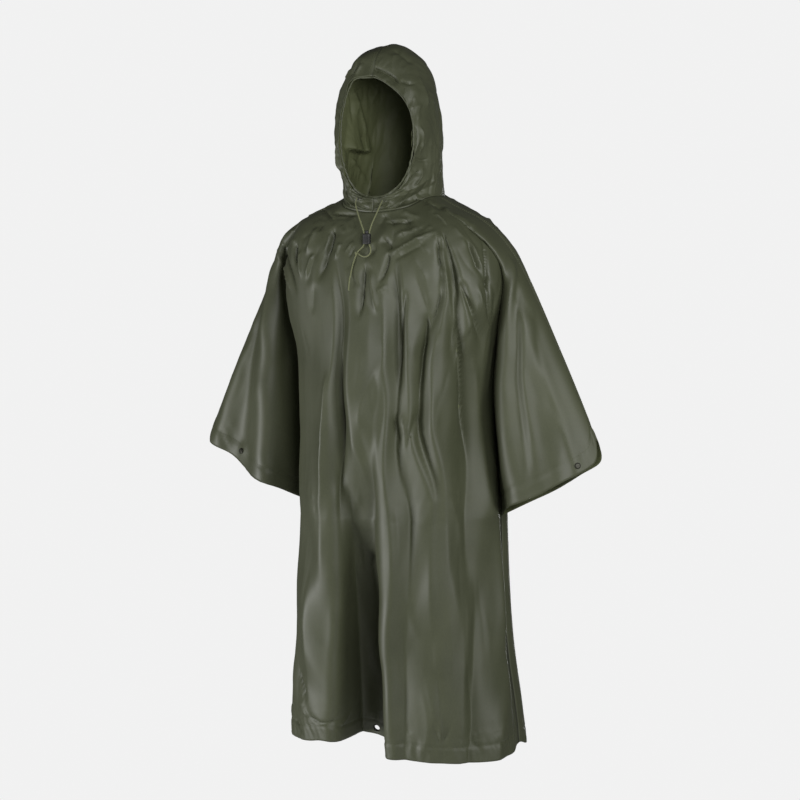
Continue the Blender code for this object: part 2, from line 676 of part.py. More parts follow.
def knot(group, surface):
    bpy.ops.mesh.primitive_uv_sphere_add(
        segments=KNOT_SEGMENTS, ring_count=KNOT_RINGS, radius=0.5, location=KNOT_PLACE
    )
    made = bpy.context.object
    made.name = "cord_knot"
    for corner in made.data.vertices:
        corner.co = [c * size for c, size in zip(corner.co, KNOT_SIZE)]
    made.data.materials.append(surface)
    for owner in list(made.users_collection):
        owner.objects.unlink(made)
    group.objects.link(made)


def main():
    clear_scene()
    poncho = collection("rain_poncho")
    cutters = collection("cutters")
    cloth = material("olive_nylon")
    cord = material("cord")
    plastic = material("black_plastic")
    metal = material("dark_metal")
    panels = {
        -1: panel("front_panel", -1, FRONT_BODY_COLUMNS, poncho, cloth),
        1: panel("back_panel", 1, BACK_BODY_COLUMNS, poncho, cloth),
    }
    hood_half("hood_left", 1, poncho, cloth)
    hood_half("hood_right", -1, poncho, cloth)
    tunnel(poncho, cloth)
    for row in GROMMETS:
        ring = dict(zip(GROMMET_COLUMNS, row))
        cutter = grommet(*row, poncho, cutters, metal)
        cut(panels[ring["side"]], cutter)
    studs(poncho, metal)
    eyelets(poncho, metal)
    for name, points in CORD_ROUTES.items():
        cord_piece(name, points, poncho, cord)
    cord_lock(poncho, plastic)
    knot(poncho, cord)


main()
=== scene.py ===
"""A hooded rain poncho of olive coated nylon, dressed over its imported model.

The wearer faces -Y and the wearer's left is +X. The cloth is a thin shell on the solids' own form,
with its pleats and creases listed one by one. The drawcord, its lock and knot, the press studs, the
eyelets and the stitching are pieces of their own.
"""

import math
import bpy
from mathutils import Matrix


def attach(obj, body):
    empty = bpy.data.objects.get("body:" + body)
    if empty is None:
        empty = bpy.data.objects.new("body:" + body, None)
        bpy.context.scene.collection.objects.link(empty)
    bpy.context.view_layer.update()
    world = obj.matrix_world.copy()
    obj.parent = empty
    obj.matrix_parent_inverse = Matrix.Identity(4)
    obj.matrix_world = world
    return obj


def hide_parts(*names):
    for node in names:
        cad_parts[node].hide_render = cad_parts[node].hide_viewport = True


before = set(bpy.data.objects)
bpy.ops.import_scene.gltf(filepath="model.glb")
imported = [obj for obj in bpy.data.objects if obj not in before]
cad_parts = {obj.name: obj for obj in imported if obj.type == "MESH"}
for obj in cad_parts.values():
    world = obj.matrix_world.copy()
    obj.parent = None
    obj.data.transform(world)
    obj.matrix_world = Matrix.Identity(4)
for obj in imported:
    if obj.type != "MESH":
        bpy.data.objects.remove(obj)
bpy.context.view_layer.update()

from types import SimpleNamespace

import bmesh
import bpy
import numpy as np
from mathutils import Vector, noise

ROOT = "root"

FLOOR_RADIUS = 0.9
FLOOR_THICK = 0.02
FLOOR_HEIGHT = -1.46
FLOOR_SIDES = 96

# The camera: degrees round from the front and above the level, and metres. The view is square.
CAMERA_TURN = 25.0
CAMERA_RISE = 4.8
CAMERA_DISTANCE = 3.6
CAMERA_LENS = 86.7
CAMERA_SENSOR = 36.0
CAMERA_AIM = (0.0, 0.0, -0.377)
VIEW = 800
# Lights: turned and raised like the camera, metres away from a height that they aim at, their size
# in metres and their watts.
LIGHT_COLUMNS = ("name", "turn", "rise", "distance", "aim", "wide", "tall", "power")
LIGHTS = (
    ("key", 38.0, 12.0, 1.9, -0.10, 0.7, 0.9, 24.0),
    ("right", 66.0, -2.0, 2.6, -0.30, 0.8, 1.0, 27.0),
    ("left", -46.0, -18.0, 2.6, -0.30, 0.8, 1.0, 52.0),
    ("back", 195.0, -6.0, 3.4, -0.40, 2.0, 1.5, 70.0),
)
ROOM_LIGHT = 0.085
BACKDROP = 0.882

# Cloth, in metres.
WALL = 0.0015  # of the solids
SHELL = 0.0007
SEAM = 0.0006  # half the room between the front and the back along the shoulders and the arms
NECK_SEAM = 0.0038  # room between the hood and the panels

# The panels' net, as the solids have it: a station runs across and a run runs down.
SECTION_COLUMNS = (
    "run", "centre_height", "side_height", "half_width", "shift",
    "centre_reach", "side_reach", "arm_reach",
)
FRONT_SECTIONS = (
    (0.00, -0.030, -0.008, 0.076, 0.000, 0.116, 0.070, 0.045),
    (0.25, -0.108, -0.056, 0.168, 0.000, 0.146, 0.078, 0.074),
    (0.50, -0.235, -0.155, 0.212, 0.010, 0.158, 0.012, 0.062),
    (0.62, -0.315, -0.240, 0.192, 0.007, 0.160, -0.010, 0.068),
    (0.75, -0.405, -0.345, 0.182, 0.000, 0.160, -0.030, 0.070),
    (1.00, -0.590, -0.590, 0.186, -0.001, 0.146, -0.050, 0.055),
    (2.00, -1.027, -1.027, 0.216, 0.004, 0.120, -0.057, 0.050),
)
BACK_SECTIONS = (
    (0.00, 0.006, 0.002, 0.076, 0.000, 0.064, 0.020, 0.045),
    (0.25, -0.065, -0.052, 0.164, 0.000, 0.108, 0.046, 0.052),
    (0.50, -0.200, -0.150, 0.210, 0.010, 0.132, 0.030, 0.046),
    (0.62, -0.285, -0.235, 0.192, 0.007, 0.140, 0.046, 0.054),
    (0.75, -0.385, -0.345, 0.182, 0.000, 0.146, 0.060, 0.060),
    (1.00, -0.590, -0.590, 0.186, -0.001, 0.150, 0.050, 0.050),
    (2.00, -1.030, -1.027, 0.216, 0.004, 0.178, 0.057, 0.050),
)
RIDGE_COLUMNS = ("run", "x", "y", "z")
RIDGE = (
    (0.00, 0.088, -0.025, 0.000),
    (0.25, 0.176, -0.012, -0.047),
    (0.50, 0.243, -0.008, -0.125),
    (0.75, 0.324, -0.010, -0.288),
    (1.00, 0.404, -0.010, -0.466),
)
# What the shoulders differ by from each other: where along the ridge, and how far out and up.
SHOULDER_COLUMNS = ("hand", "run", "wide", "out", "up")
SHOULDERS = (
    (-1, 0.38, 0.13, 0.011, 0.010),
    (1, 0.13, 0.09, -0.0015, -0.003),
)
SQUARENESS = 0.62  # of the body's cross section
SIDE_LIFT = 1.7  # how late the height changes from the centre to the side
ARM_TURN = 6.0  # how sharply the sleeve turns out of the body's side
ARM_SAG = {1: 0.007, -1: -0.010}  # how far the left and the right sleeve's end hangs down
ARM_SAG_START = 0.5
CORNER = 0.045  # how much of a run the sleeves' outer corners are rounded by
CORNER_WIDE = 0.12
CORNER_START = 0.8
HEM_COLUMNS = ("station", "lift")
HEM_START = 1.3
HEM_LONG = 0.7
FRONT_HEM = (
    (-1.00, 0.034), (-0.95, 0.018), (-0.85, 0.009), (-0.45, 0.011), (-0.30, 0.017), (-0.20, 0.005),
    (-0.10, -0.002), (0.00, 0.004), (0.05, 0.002), (0.20, 0.000), (0.85, 0.000), (0.95, 0.002),
    (1.00, 0.010),
)
BACK_HEM = (
    (-1.00, 0.034), (-0.94, 0.032), (-0.70, 0.042), (-0.45, 0.050), (-0.30, 0.050), (0.00, 0.034),
    (0.30, 0.010), (0.60, 0.000), (0.85, 0.000), (0.95, 0.003), (1.00, 0.010),
)

FOLD_COLUMNS = (
    "start", "station_top", "station_level", "station_hem",
    "wide_right", "wide_left", "height_level", "height_hem", "edge",
    "lean_right", "lean_left",
)
FRONT_FOLDS = (
    (0.80, -0.03, -0.03, -0.085, 0.150, 0.120, -0.035, -0.165, 4.0, 0.45, -0.15),
    (0.35, -0.66, -0.66, -0.78, 0.10, 0.10, 0.004, 0.012, 2.0, 0.0, 0.0),
)
BACK_FOLDS = (
    (0.35, -0.70, -0.72, -0.70, 0.08, 0.08, 0.010, 0.022, 2.0, 0.0, 0.0),
    (0.30, -0.48, -0.50, -0.52, 0.08, 0.07, -0.012, -0.024, 2.0, 0.0, 0.0),
    (0.40, -0.28, -0.30, -0.34, 0.08, 0.08, 0.012, 0.024, 2.0, 0.0, 0.0),
    (0.25, -0.10, -0.08, -0.10, 0.07, 0.09, -0.012, -0.030, 2.0, 0.0, 0.0),
    (0.45, 0.12, 0.14, 0.12, 0.07, 0.07, 0.012, 0.020, 2.0, 0.0, 0.0),
    (0.30, 0.30, 0.33, 0.34, 0.06, 0.08, -0.012, -0.026, 2.0, 0.0, 0.0),
    (0.40, 0.50, 0.54, 0.55, 0.08, 0.08, 0.012, 0.022, 2.0, 0.0, 0.0),
    (0.30, 0.74, 0.76, 0.75, 0.07, 0.07, -0.008, -0.018, 2.0, 0.0, 0.0),
)
LEAN_BLEND = 0.16  # stations between the part that leans right and the part that leans left
FOLD_GROWTH = 0.8  # how early a fold deepens below the underarm
FOLD_RISE = 0.5  # how much of a fold's height may move the cloth up or down
FOLD_LEVEL = 1.3  # below this run a fold only moves the cloth sideways
FOLD_FADE = 0.6
FOLD_RIDGE_FADE = 0.25
UNDERARM_START = 0.8
UNDERARM_WIDE = 0.10
RIDGE_SEAM = 0.08  # how far from a seam, in stations, the panels make room for it
SIDE_SEAM = 0.04
SIDE_SEAM_START = 0.9
SHELL_SEAM = 0.03  # the same for the thin shells
SHELL_SEAM_START = 0.93
NUDGE = 1e-3  # the step by which a direction on the cloth is taken
TINY = 1e-9
SLEEVE_FOLD_COLUMNS = ("start", "station_top", "station_level", "half_width", "height")
FRONT_SLEEVE_FOLDS = {
    "left": (
        (0.45, 1.22, 1.22, 0.09, 0.012),
        (0.50, 1.42, 1.44, 0.09, -0.008),
        (0.45, 1.62, 1.62, 0.08, 0.007),
    ),
    "right": (
        (0.40, 1.22, 1.24, 0.09, 0.014),
        (0.45, 1.46, 1.48, 0.09, -0.010),
        (0.50, 1.66, 1.68, 0.08, 0.006),
    ),
}
BACK_SLEEVE_FOLDS = {
    "left": ((0.40, 1.25, 1.28, 0.10, 0.010), (0.45, 1.55, 1.55, 0.10, -0.008)),
    "right": ((0.45, 1.30, 1.30, 0.10, 0.010), (0.40, 1.58, 1.58, 0.10, -0.008)),
}

HOOD_PROFILE_COLUMNS = ("share", "y", "z", "half_width", "chin_y", "chin_z")
HOOD_PROFILE = (
    (0.00, -0.113, 0.216, 0.079, -0.112, -0.005),
    (0.12, -0.094, 0.253, 0.084, -0.112, -0.009),
    (0.30, -0.034, 0.273, 0.088, -0.112, -0.014),
    (0.50, 0.028, 0.244, 0.089, -0.113, -0.019),
    (0.68, 0.056, 0.172, 0.089, -0.114, -0.023),
    (0.85, 0.060, 0.088, 0.088, -0.115, -0.027),
    (1.00, 0.064, 0.006, 0.088, -0.116, -0.030),
)
HOOD_ROUND = 0.86  # the roundness of its rings
# At the face opening the left and the right half are wider or narrower, and rounder or flatter.
FACE_WIDER = {1: 0.03, -1: -0.14}
FACE_ROUND = {1: 1.55, -1: 0.42}
FACE_FADE = 0.20  # the share by which that difference ends
HOOD_SETTLE = 0.72  # from this share on the hood takes the form of the neck seam
# The channel round the face: its size, how far it lies inside the opening, and how much it sways
# along the cloth, is pinched out of it and swells.
CHANNEL_WIDE = 0.0068
CHANNEL_THICK = 0.0028
CHANNEL_LOOK = 0.06  # the share from which the channel's direction is taken
CHANNEL_INSET = 0.0020
CHANNEL_SWAY = 0.0012
CHANNEL_PINCH = 0.0016
CHANNEL_SWELL = 0.5
CHANNEL_NOISE = {"pinch": (0.006, 4.2), "sway": (0.030, 9.1)}  # length, and where it starts
CHANNEL_STEPS = 420
CHANNEL_SIDES = 12
MERGE = 1e-6

# Pleats of the front's body and sleeves, from side to side. Each line is the ridge or the foot of a
# pleat, placed where the camera sees it: its x at each level of y, then its height there. Places
# are pixels from the view's top left corner, and a height of 1 is PLEAT_SCALE metres.
BODY_LEVELS = (250, 300, 360, 430, 500, 580, 660, 750)
BODY_LINES = (
    ((283, 300, 300, 300, 299, 298, 294, 293), (0, 0, 0, 0, 0, 0, 0, 0)),
    ((330, 333, 332, 331, 327, 321, 317, 313), (0, 3, 6, 8, 9, 10, 10, 8)),
    ((337, 339, 338, 338, 338, 334, 330, 326), (0, -3, -4, -5, -2, 4, 5, 5)),
    ((346, 350, 350, 351, 352, 350, 348, 346), (3, 5, 7, 7, 3, 0, 0, 0)),
    ((372, 372, 372, 373, 374, 374, 374, 374), (0, 3, 4, 4, 0, 0, 0, 0)),
    ((388, 389, 389, 388, 389, 390, 390, 390), (0, 4, 6, 7, 7, 7, 7, 6)),
    ((402, 402, 399, 396, 403, 405, 405, 404), (0, -5, -8, -8, -6, -4, -3, -3)),
    ((407, 407, 409, 411, 426, 431, 434, 436), (0, 4, 6, 6, 7, 6, 4, 3)),
    ((440, 437, 425, 418, 431, 440, 446, 450), (-2, -6, -8, -8, 6, 5, 3, 2)),
    ((446, 445, 434, 428, 440, 456, 460, 460), (3, 6, 8, 8, 7, 5, 3, 2)),
    ((448, 450, 456, 464, 470, 472, 472, 470), (-3, -5, -6, -6, -6, -4, -3, -2)),
    ((458, 462, 469, 477, 485, 494, 499, 501), (3, 4, 6, 7, 9, 8, 7, 5)),
    ((513, 509, 498, 498, 503, 510, 518, 524), (0, 0, 0, 0, 0, 0, 0, 0)),
)
LEFT_SLEEVE_LEVELS = (270, 330, 390, 450, 500)
LEFT_SLEEVE_LINES = (
    ((512, 500, 496, 499, 502), (0, 0, 0, 0, 0)),
    ((518, 508, 506, 508, 509), (3, 6, 7, 6, 4)),
    ((522, 515, 519, 521, 523), (-2, -4, -4, -3, 0)),
    ((528, 521, 528, 531, 533), (2, 4, 5, 4, 3)),
    ((540, 540, 548, 556, 560), (0, -2, -4, -3, 0)),
    ((560, 560, 575, 590, 600), (0, 0, 0, 0, 0)),
)
RIGHT_SLEEVE_LEVELS = (270, 330, 390, 450, 480)
RIGHT_SLEEVE_LINES = (
    ((262, 246, 227, 213, 230), (0, 0, 0, 0, 0)),
    ((270, 256, 246, 240, 244), (0, -3, -4, -3, 0)),
    ((277, 268, 267, 262, 262), (3, 8, 10, 9, 8)),
    ((284, 286, 284, 287, 288), (-4, -4, -2, 2, 2)),
    ((300, 305, 315, 322, 325), (0, -6, -8, -8, 0)),
)
PLEAT_SCALE = 0.0018
PLEAT_TOP = 225  # the level at which the pleats begin
PLEAT_TOP_LONG = 50
PLEAT_SIDE = -0.93  # the station beside the right sleeve at which they end, and how gently
PLEAT_SIDE_FADE = 0.07
ROUNDING = (1, 3)  # passes of smoothing over the pleats, across and down

# Creases of the front, placed where the camera sees them: three points each, then the half widths
# in millimetres towards the view's right and left, the height, where a trough is negative and 1 is
# CREASE_SCALE metres, and how much wider the crease is at its end.
CREASE_COLUMNS = (
    "x0", "y0", "x1", "y1", "x2", "y2", "right", "left", "height", "fan",
)
FRONT_CREASES = (
    # The chest, from the wearer's right to left.
    (282, 240, 288, 262, 298, 297, 3, 5, -6.0, 1.2),
    (278, 245, 284, 268, 293, 295, 2, 4, 3.0, 1.2),
    (297, 243, 296, 254, 298, 266, 3, 3, -6.0, 1.0),
    (301, 250, 300, 262, 302, 280, 2, 3, 3.0, 1.3),
    (318, 226, 312, 240, 306, 256, 7, 5, 4.0, 1.3),
    (334, 226, 328, 250, 318, 285, 6, 4, -8.0, 1.6),
    (330, 231, 327, 243, 322, 256, 2, 2, 2.5, 1.0),
    (314, 254, 310, 264, 306, 280, 3, 3, 4.0, 1.4),
    (341, 243, 338, 250, 335, 260, 3, 3, 3.0, 1.0),
    (352, 241, 349, 247, 346, 253, 2, 2, 2.5, 1.0),
    (355, 246, 352, 253, 350, 258, 2, 2, -3.0, 1.0),
    (365, 262, 364, 290, 361, 323, 3, 6, -7.0, 1.4),
    (370, 268, 374, 292, 379, 316, 6, 3, 4.0, 1.4),
    (389, 250, 386, 268, 379, 285, 3, 3, -6.0, 1.0),
    (379, 292, 383, 289, 388, 286, 2, 2, 3.0, 1.0),
    (381, 236, 388, 244, 392, 250, 6, 6, -5.0, 1.2),
    (391, 254, 410, 243, 442, 228, 3, 3, 4.5, 1.0),
    (393, 262, 408, 251, 428, 241, 4, 4, -3.0, 1.2),
    (406, 288, 402, 330, 399, 400, 4, 3, -7.0, 1.6),
    (427, 312, 424, 350, 417, 410, 4, 6, -7.0, 1.4),
    (442, 288, 437, 310, 428, 335, 4, 4, -4.0, 1.2),
    (439, 233, 439, 258, 446, 271, 2, 3, -4.0, 1.0),
    (441, 231, 452, 262, 458, 312, 2, 4, -5.0, 1.3),
    (458, 312, 463, 380, 471, 470, 3, 5, -6.0, 1.3),
    (444, 262, 450, 300, 455, 340, 3, 3, 3.0, 1.2),
    (466, 238, 473, 258, 479, 274, 2, 3, -4.0, 1.0),
    (469, 238, 477, 258, 482, 272, 2, 2, 2.5, 1.0),
    (460, 279, 468, 305, 484, 350, 5, 4, -7.0, 1.1),
    (484, 238, 486, 275, 489, 344, 2, 3, -6.0, 1.0),
    (487, 276, 487, 284, 488, 292, 3, 3, -4.0, 1.0),
    (476, 285, 482, 310, 488, 345, 3, 3, 2.5, 1.0),
    # Round the neck.
    (332, 213, 345, 214, 362, 215, 3, 3, -4.0, 1.0),
    (384, 222, 400, 222, 416, 220, 2, 2, -4.0, 1.0),
    (323, 209, 328, 215, 334, 221, 2, 2, -3.0, 1.0),
    (434, 214, 441, 218, 447, 226, 2, 2, 3.0, 1.0),
    (418, 226, 408, 232, 394, 235, 4, 4, 3.0, 1.0),
    # The narrow ridge over the deep fold and the pinch of small folds beside it.
    (331, 372, 330, 420, 326, 520, 4, 4, 4.0, 1.5),
    (341, 400, 341, 450, 340, 520, 6, 5, -4.0, 1.4),
    (391, 417, 397, 432, 401, 446, 3, 4, -4.0, 1.0),
    (398, 414, 405, 428, 414, 440, 3, 3, 4.0, 1.0),
    (417, 412, 412, 428, 406, 446, 4, 3, -5.0, 1.0),
    # The deep fold's pucker and its edge.
    (357, 556, 366, 560, 376, 554, 3, 3, -4.0, 1.0),
    (376, 553, 372, 560, 368, 568, 2, 2, -3.0, 1.0),
    # Wrinkles near the hem.
    (300, 666, 307, 683, 315, 701, 3, 4, -6.0, 1.0),
    (306, 697, 310, 708, 314, 718, 3, 3, 4.0, 1.0),
    (296, 716, 302, 725, 309, 735, 3, 3, -3.0, 1.0),
    (313, 712, 326, 722, 340, 716, 3, 3, -3.5, 1.0),
    (338, 727, 345, 718, 352, 706, 3, 3, 3.0, 1.0),
    (432, 722, 437, 734, 440, 748, 3, 4, -1.6, 1.1),
    (452, 722, 446, 734, 442, 748, 4, 3, -1.6, 1.1),
    (441, 716, 441, 728, 442, 742, 2, 3, 1.6, 1.0),
)
HOOD_LEFT_CREASES = (
    (364, 68, 385, 72, 402, 86, 3, 5, -4.0, 1.1),
    (400, 79, 408, 84, 417, 82, 2, 2, -2.5, 1.0),
    (392, 49, 404, 56, 415, 66, 8, 8, -3.0, 1.0),
    (419, 75, 424, 92, 427, 112, 5, 8, 2.5, 1.2),
    (413, 126, 415, 139, 411, 153, 3, 3, -6.0, 1.0),
    (419, 124, 422, 140, 421, 156, 3, 3, 2.5, 1.0),
    (416, 158, 422, 161, 429, 159, 2, 2, -3.0, 1.0),
    (419, 171, 414, 176, 407, 182, 2, 2, -4.0, 1.0),
    (423, 166, 418, 178, 411, 186, 3, 3, 3.0, 1.0),
    (392, 208, 411, 197, 438, 183, 7, 13, -4.5, 1.1),
    (400, 190, 416, 186, 436, 172, 9, 9, 4.0, 1.2),
    (378, 205, 383, 200, 388, 206, 3, 3, -1.4, 1.0),
    (384, 206, 386, 210, 390, 213, 3, 3, 1.2, 1.0),
)
HOOD_RIGHT_CREASES = (
    (350, 76, 354, 70, 357, 62, 3, 3, -2.2, 1.0),
    (355, 75, 359, 69, 362, 63, 3, 3, 2.2, 1.0),
    (345, 79, 348, 74, 352, 68, 3, 3, 2.0, 1.0),
    (341, 180, 345, 190, 351, 200, 2, 2, -3.0, 1.0),
    (346, 196, 352, 204, 359, 210, 2, 2, 3.0, 1.0),
    (338, 140, 337, 155, 339, 172, 2, 2, 2.5, 1.0),
)
# Creases of the hood's right half that show inside it, through the face opening. Here the first
# half width is towards the view's lower left.
HOOD_INNER_CREASES = (
    (344, 146, 356, 151, 374, 150, 3, 34, -11.0, 1.0),
    (352, 88, 360, 110, 366, 146, 16, 3, -3.0, 1.4),
    (346, 84, 352, 100, 350, 128, 3, 5, 3.0, 1.0),
    (350, 158, 358, 170, 372, 190, 5, 4, -3.0, 1.2),
)
CREASE_EDGE = 1.25  # how sharp a crease's own line is: 1 is a knife edge, 2 is rounded
CREASE_SCALE = 0.0017
MILLIMETRE = 0.001
CREASE_POINTS = 24
CREASE_SMOOTH = 2  # passes of smoothing along a crease's line
CREASE_REACH = 3  # half widths beyond which a crease no longer counts
CREASE_IN = 0.25  # the shares of a crease over which it rises and ends
CREASE_OUT = 0.3
# How a place of the view is found on the cloth: points count within so many pixels of it or beyond
# the nearest of them, and within so many metres behind the foremost. Those that face away are
# moved off, and a few tenths of a pixel soften the weights.
PICK_NEAR = 2.5
PICK_SPREAD = 1.0
PICK_DEEP = 0.02
PICK_AWAY = 1e3
PICK_SOFT = 0.3

# Creases of the back, by station and run: start, middle, end, then as above.
BACK_CREASES = (
    (-0.95, 0.18, -0.60, 0.32, -0.30, 0.55, 9, 7, -5.0, 1.3),
    (0.95, 0.16, 0.66, 0.30, 0.42, 0.52, 8, 9, -5.0, 1.3),
    (-0.40, 0.10, -0.34, 0.30, -0.30, 0.60, 7, 6, 4.0, 1.6),
    (0.25, 0.08, 0.24, 0.30, 0.22, 0.62, 6, 8, -4.5, 1.7),
    (0.55, 0.12, 0.60, 0.35, 0.66, 0.70, 6, 7, 4.0, 1.6),
    (-0.70, 0.35, -0.62, 0.60, -0.60, 0.95, 7, 6, -5.0, 1.4),
    (0.98, 0.42, 0.90, 0.62, 0.86, 0.90, 6, 7, -5.0, 1.3),
    (-0.10, 1.50, -0.06, 1.62, 0.05, 1.70, 7, 7, -4.0, 1.0),
)

# Small creases in numbers: where they lie by column and row, their greatest length, half width and
# height. The turn is how far, in radians, they stray from the way down, and the fan how much they
# turn with the column.
SCATTER_COLUMNS = (
    "seed", "count", "column_low", "column_high", "row_low", "row_high",
    "long", "wide", "height", "turn", "fan",
)
FRONT_SCATTER = (
    (11, 64, -1.45, 1.45, 0.03, 0.32, 0.045, 0.0060, 0.0030, 0.9, -0.3),
    (12, 34, -0.95, 0.95, 0.25, 0.60, 0.090, 0.0075, 0.0030, 0.35, -0.2),
    (13, 30, -0.95, 0.95, 0.55, 1.10, 0.160, 0.0090, 0.0028, 0.12, 0.0),
    (14, 26, -0.95, 0.95, 1.10, 1.85, 0.200, 0.0110, 0.0026, 0.08, 0.0),
    (15, 18, -1.90, -1.05, 0.40, 0.90, 0.110, 0.0080, 0.0022, 0.15, 0.0),
    (16, 18, 1.05, 1.90, 0.40, 0.90, 0.110, 0.0080, 0.0022, 0.15, 0.0),
    (17, 26, -0.95, 0.95, 1.86, 1.97, 0.035, 0.0050, 0.0016, 0.5, 0.0),
    (18, 16, -1.90, 1.90, 0.86, 0.97, 0.035, 0.0050, 0.0016, 0.5, 0.0),
)
BACK_SCATTER = (
    (21, 40, -1.50, 1.50, 0.03, 0.30, 0.050, 0.0055, 0.0022, 0.8, 0.3),
    (22, 26, -0.95, 0.95, 0.25, 0.60, 0.100, 0.0070, 0.0024, 0.35, 0.2),
    (23, 44, -0.95, 0.95, 0.55, 1.85, 0.190, 0.0100, 0.0024, 0.10, 0.0),
    (24, 34, -1.90, 1.90, 0.40, 0.90, 0.110, 0.0080, 0.0022, 0.15, 0.0),
    (25, 24, -0.95, 0.95, 1.86, 1.97, 0.035, 0.0050, 0.0016, 0.5, 0.0),
)
HOOD_SCATTER = (
    (31, 26, 0.10, 1.90, 0.06, 0.80, 0.060, 0.0060, 0.0024, 0.9, 0.0),
    (32, 16, 0.10, 1.90, 0.02, 0.14, 0.024, 0.0040, 0.0011, 0.4, 0.0),
    (33, 14, 0.15, 1.20, 0.70, 0.92, 0.040, 0.0050, 0.0026, 0.7, 0.0),
)

SCATTER_POINTS = 16
SCATTER_SWAY = 0.12  # of its length, the most that a small crease is bowed
SCATTER_LEAST = 0.5  # the least share of the length and the width
SCATTER_LOWEST = 0.4  # the least share of the height
SCATTER_FAN = 1.2

# Small waves of the cloth: where their noise starts, their lengths across and down, their height,
# and whether they are sharp.
PANEL_WAVES = ((3.1, 0.055, 0.200, 0.0010), (8.4, 0.022, 0.060, 0.0008, True))
HOOD_WAVES = ((5.2, 0.045, 0.060, 0.0045), (1.2, 0.020, 0.028, 0.0018, True))
FACE_GATHERS = (7.7, 0.010, 0.050, 0.0016)
FACE_GATHERS_LONG = 0.018
HEM_PUCKERS = (12.3, 0.011, 0.040, 0.0022)
HEM_PUCKER_PLACE = 0.7  # of the hem's width
HEM_PUCKER_REACH = 0.022
HEM_PUCKER_EDGE = 3.0
PLEAT_SWAY = (21.0, 0.10, 0.16, 9.0)  # how far the pleats wander, in pixels
PLEAT_CHANGE = (33.0, 0.05, 0.14, 0.9)  # the share by which they grow and shrink
WAVE_SPREAD = 1.7  # parts the noise of one start from that of another
WAVE_SHARP = 0.35  # the level from which sharp waves are cut

RIDGE_FADE = 0.30  # stations over which the small forms fade out at the ridge
NECK_FADE = 0.03

# How finely the panels are cut: columns, and rows from one run to another.
BODY_COLUMNS = 232
SLEEVE_COLUMNS = 44
UPPER_STEPS = ((0.0, 0.5, 60), (0.5, 0.93, 32), (0.93, 1.0, 12))
LOWER_STEPS = ((1.0, 1.85, 30), (1.85, 2.0, 20))
HOOD_CALM = 0.97  # the share at which the hood's creases have ended above the neck seam
HOOD_CALM_LONG = 0.20
HOOD_START = -0.01  # the share of the first row, just beyond the face opening
HOOD_SEAM_FADE = 0.04  # turns over which the creases end at the seam between the halves
TUCK_START = 0.90  # from this share on the hood goes under the panels' neck edge
TUCK_UNDER = 0.0006
HOOD_ROWS = 150
HOOD_COLUMNS = 200
HEM_BAND = 0.030  # metres of doubled cloth at the hem and the sleeves' ends
HEM_RAISE = 0.0006
HEM_STEP = 0.003
HEM_SEWN = 0.0010  # how deep its sewn line lies
STITCH_PITCH = 0.0042
STITCH = (0.0030, 0.0006, 0.0004)  # length, width and height of one stitch
STITCH_CORNERS = (
    (-0.50, -0.5, -0.3), (0.50, -0.5, -0.3), (0.50, 0.5, -0.3), (-0.50, 0.5, -0.3),
    (-0.32, -0.3, 1.0), (0.32, -0.3, 1.0), (0.32, 0.3, 1.0), (-0.32, 0.3, 1.0),
)
STITCH_SIDES = ((4, 5, 6, 7), (0, 1, 5, 4), (1, 2, 6, 5), (2, 3, 7, 6), (3, 0, 4, 7))

# The fittings' places on the panels, as the solids have them: side, station and run.
STUDS = ((-1, 1.645, 0.982), (1, 1.645, 0.982), (-1, -1.420, 0.973), (1, -1.420, 0.973))
GROMMETS = ((-1, -0.112, 1.971), (1, -0.020, 1.970))
GROMMET_HOLE = 0.0066
HOLE_DEEP = 0.03
HOLE_SIDES = 32
FITTING_CLEAR = 0.014  # metres round a fitting within which the cloth has no creases

# The drawcord's route, as the solids have it.
CORD = 0.0024
CORD_RIGHT = (
    (-0.0316, -0.1180, -0.0040), (-0.0285, -0.1280, -0.0130), (-0.0180, -0.1390, -0.0330),
    (-0.0080, -0.1470, -0.0500), (-0.0008, -0.1500, -0.0672), (-0.0008, -0.1500, -0.0770),
    (-0.0008, -0.1500, -0.0868), (-0.0050, -0.1506, -0.0930), (-0.0130, -0.1506, -0.0992),
    (-0.0170, -0.1510, -0.1074), (-0.0200, -0.1540, -0.1180), (-0.0225, -0.1580, -0.1350),
    (-0.0240, -0.1630, -0.1520), (-0.0236, -0.1670, -0.1690),
)
CORD_LEFT = (
    (0.0196, -0.1180, -0.0085), (0.0205, -0.1280, -0.0170), (0.0170, -0.1380, -0.0340),
    (0.0125, -0.1460, -0.0510), (0.0096, -0.1500, -0.0672), (0.0096, -0.1500, -0.0770),
    (0.0096, -0.1500, -0.0868), (0.0128, -0.1512, -0.0945), (0.0120, -0.1520, -0.1030),
    (0.0050, -0.1525, -0.1085), (-0.0045, -0.1520, -0.1078), (-0.0118, -0.1508, -0.1038),
)
CORD_POINTS = 34
CORD_BEVEL = 5
KNOT_PLACE = (-0.0160, -0.1505, -0.1030)
KNOT_SCALE = 0.00085
KNOT_DEEP = 1.6
KNOT_POINTS = 96
KNOT_BEVEL = 4
LOCK_PLACE = (0.0045, -0.1500, -0.0770)
LOCK_SIDES = 40
LOCK_SOFT = 0.0003
LOCK_COLUMNS = ("height", "width", "depth", "square")
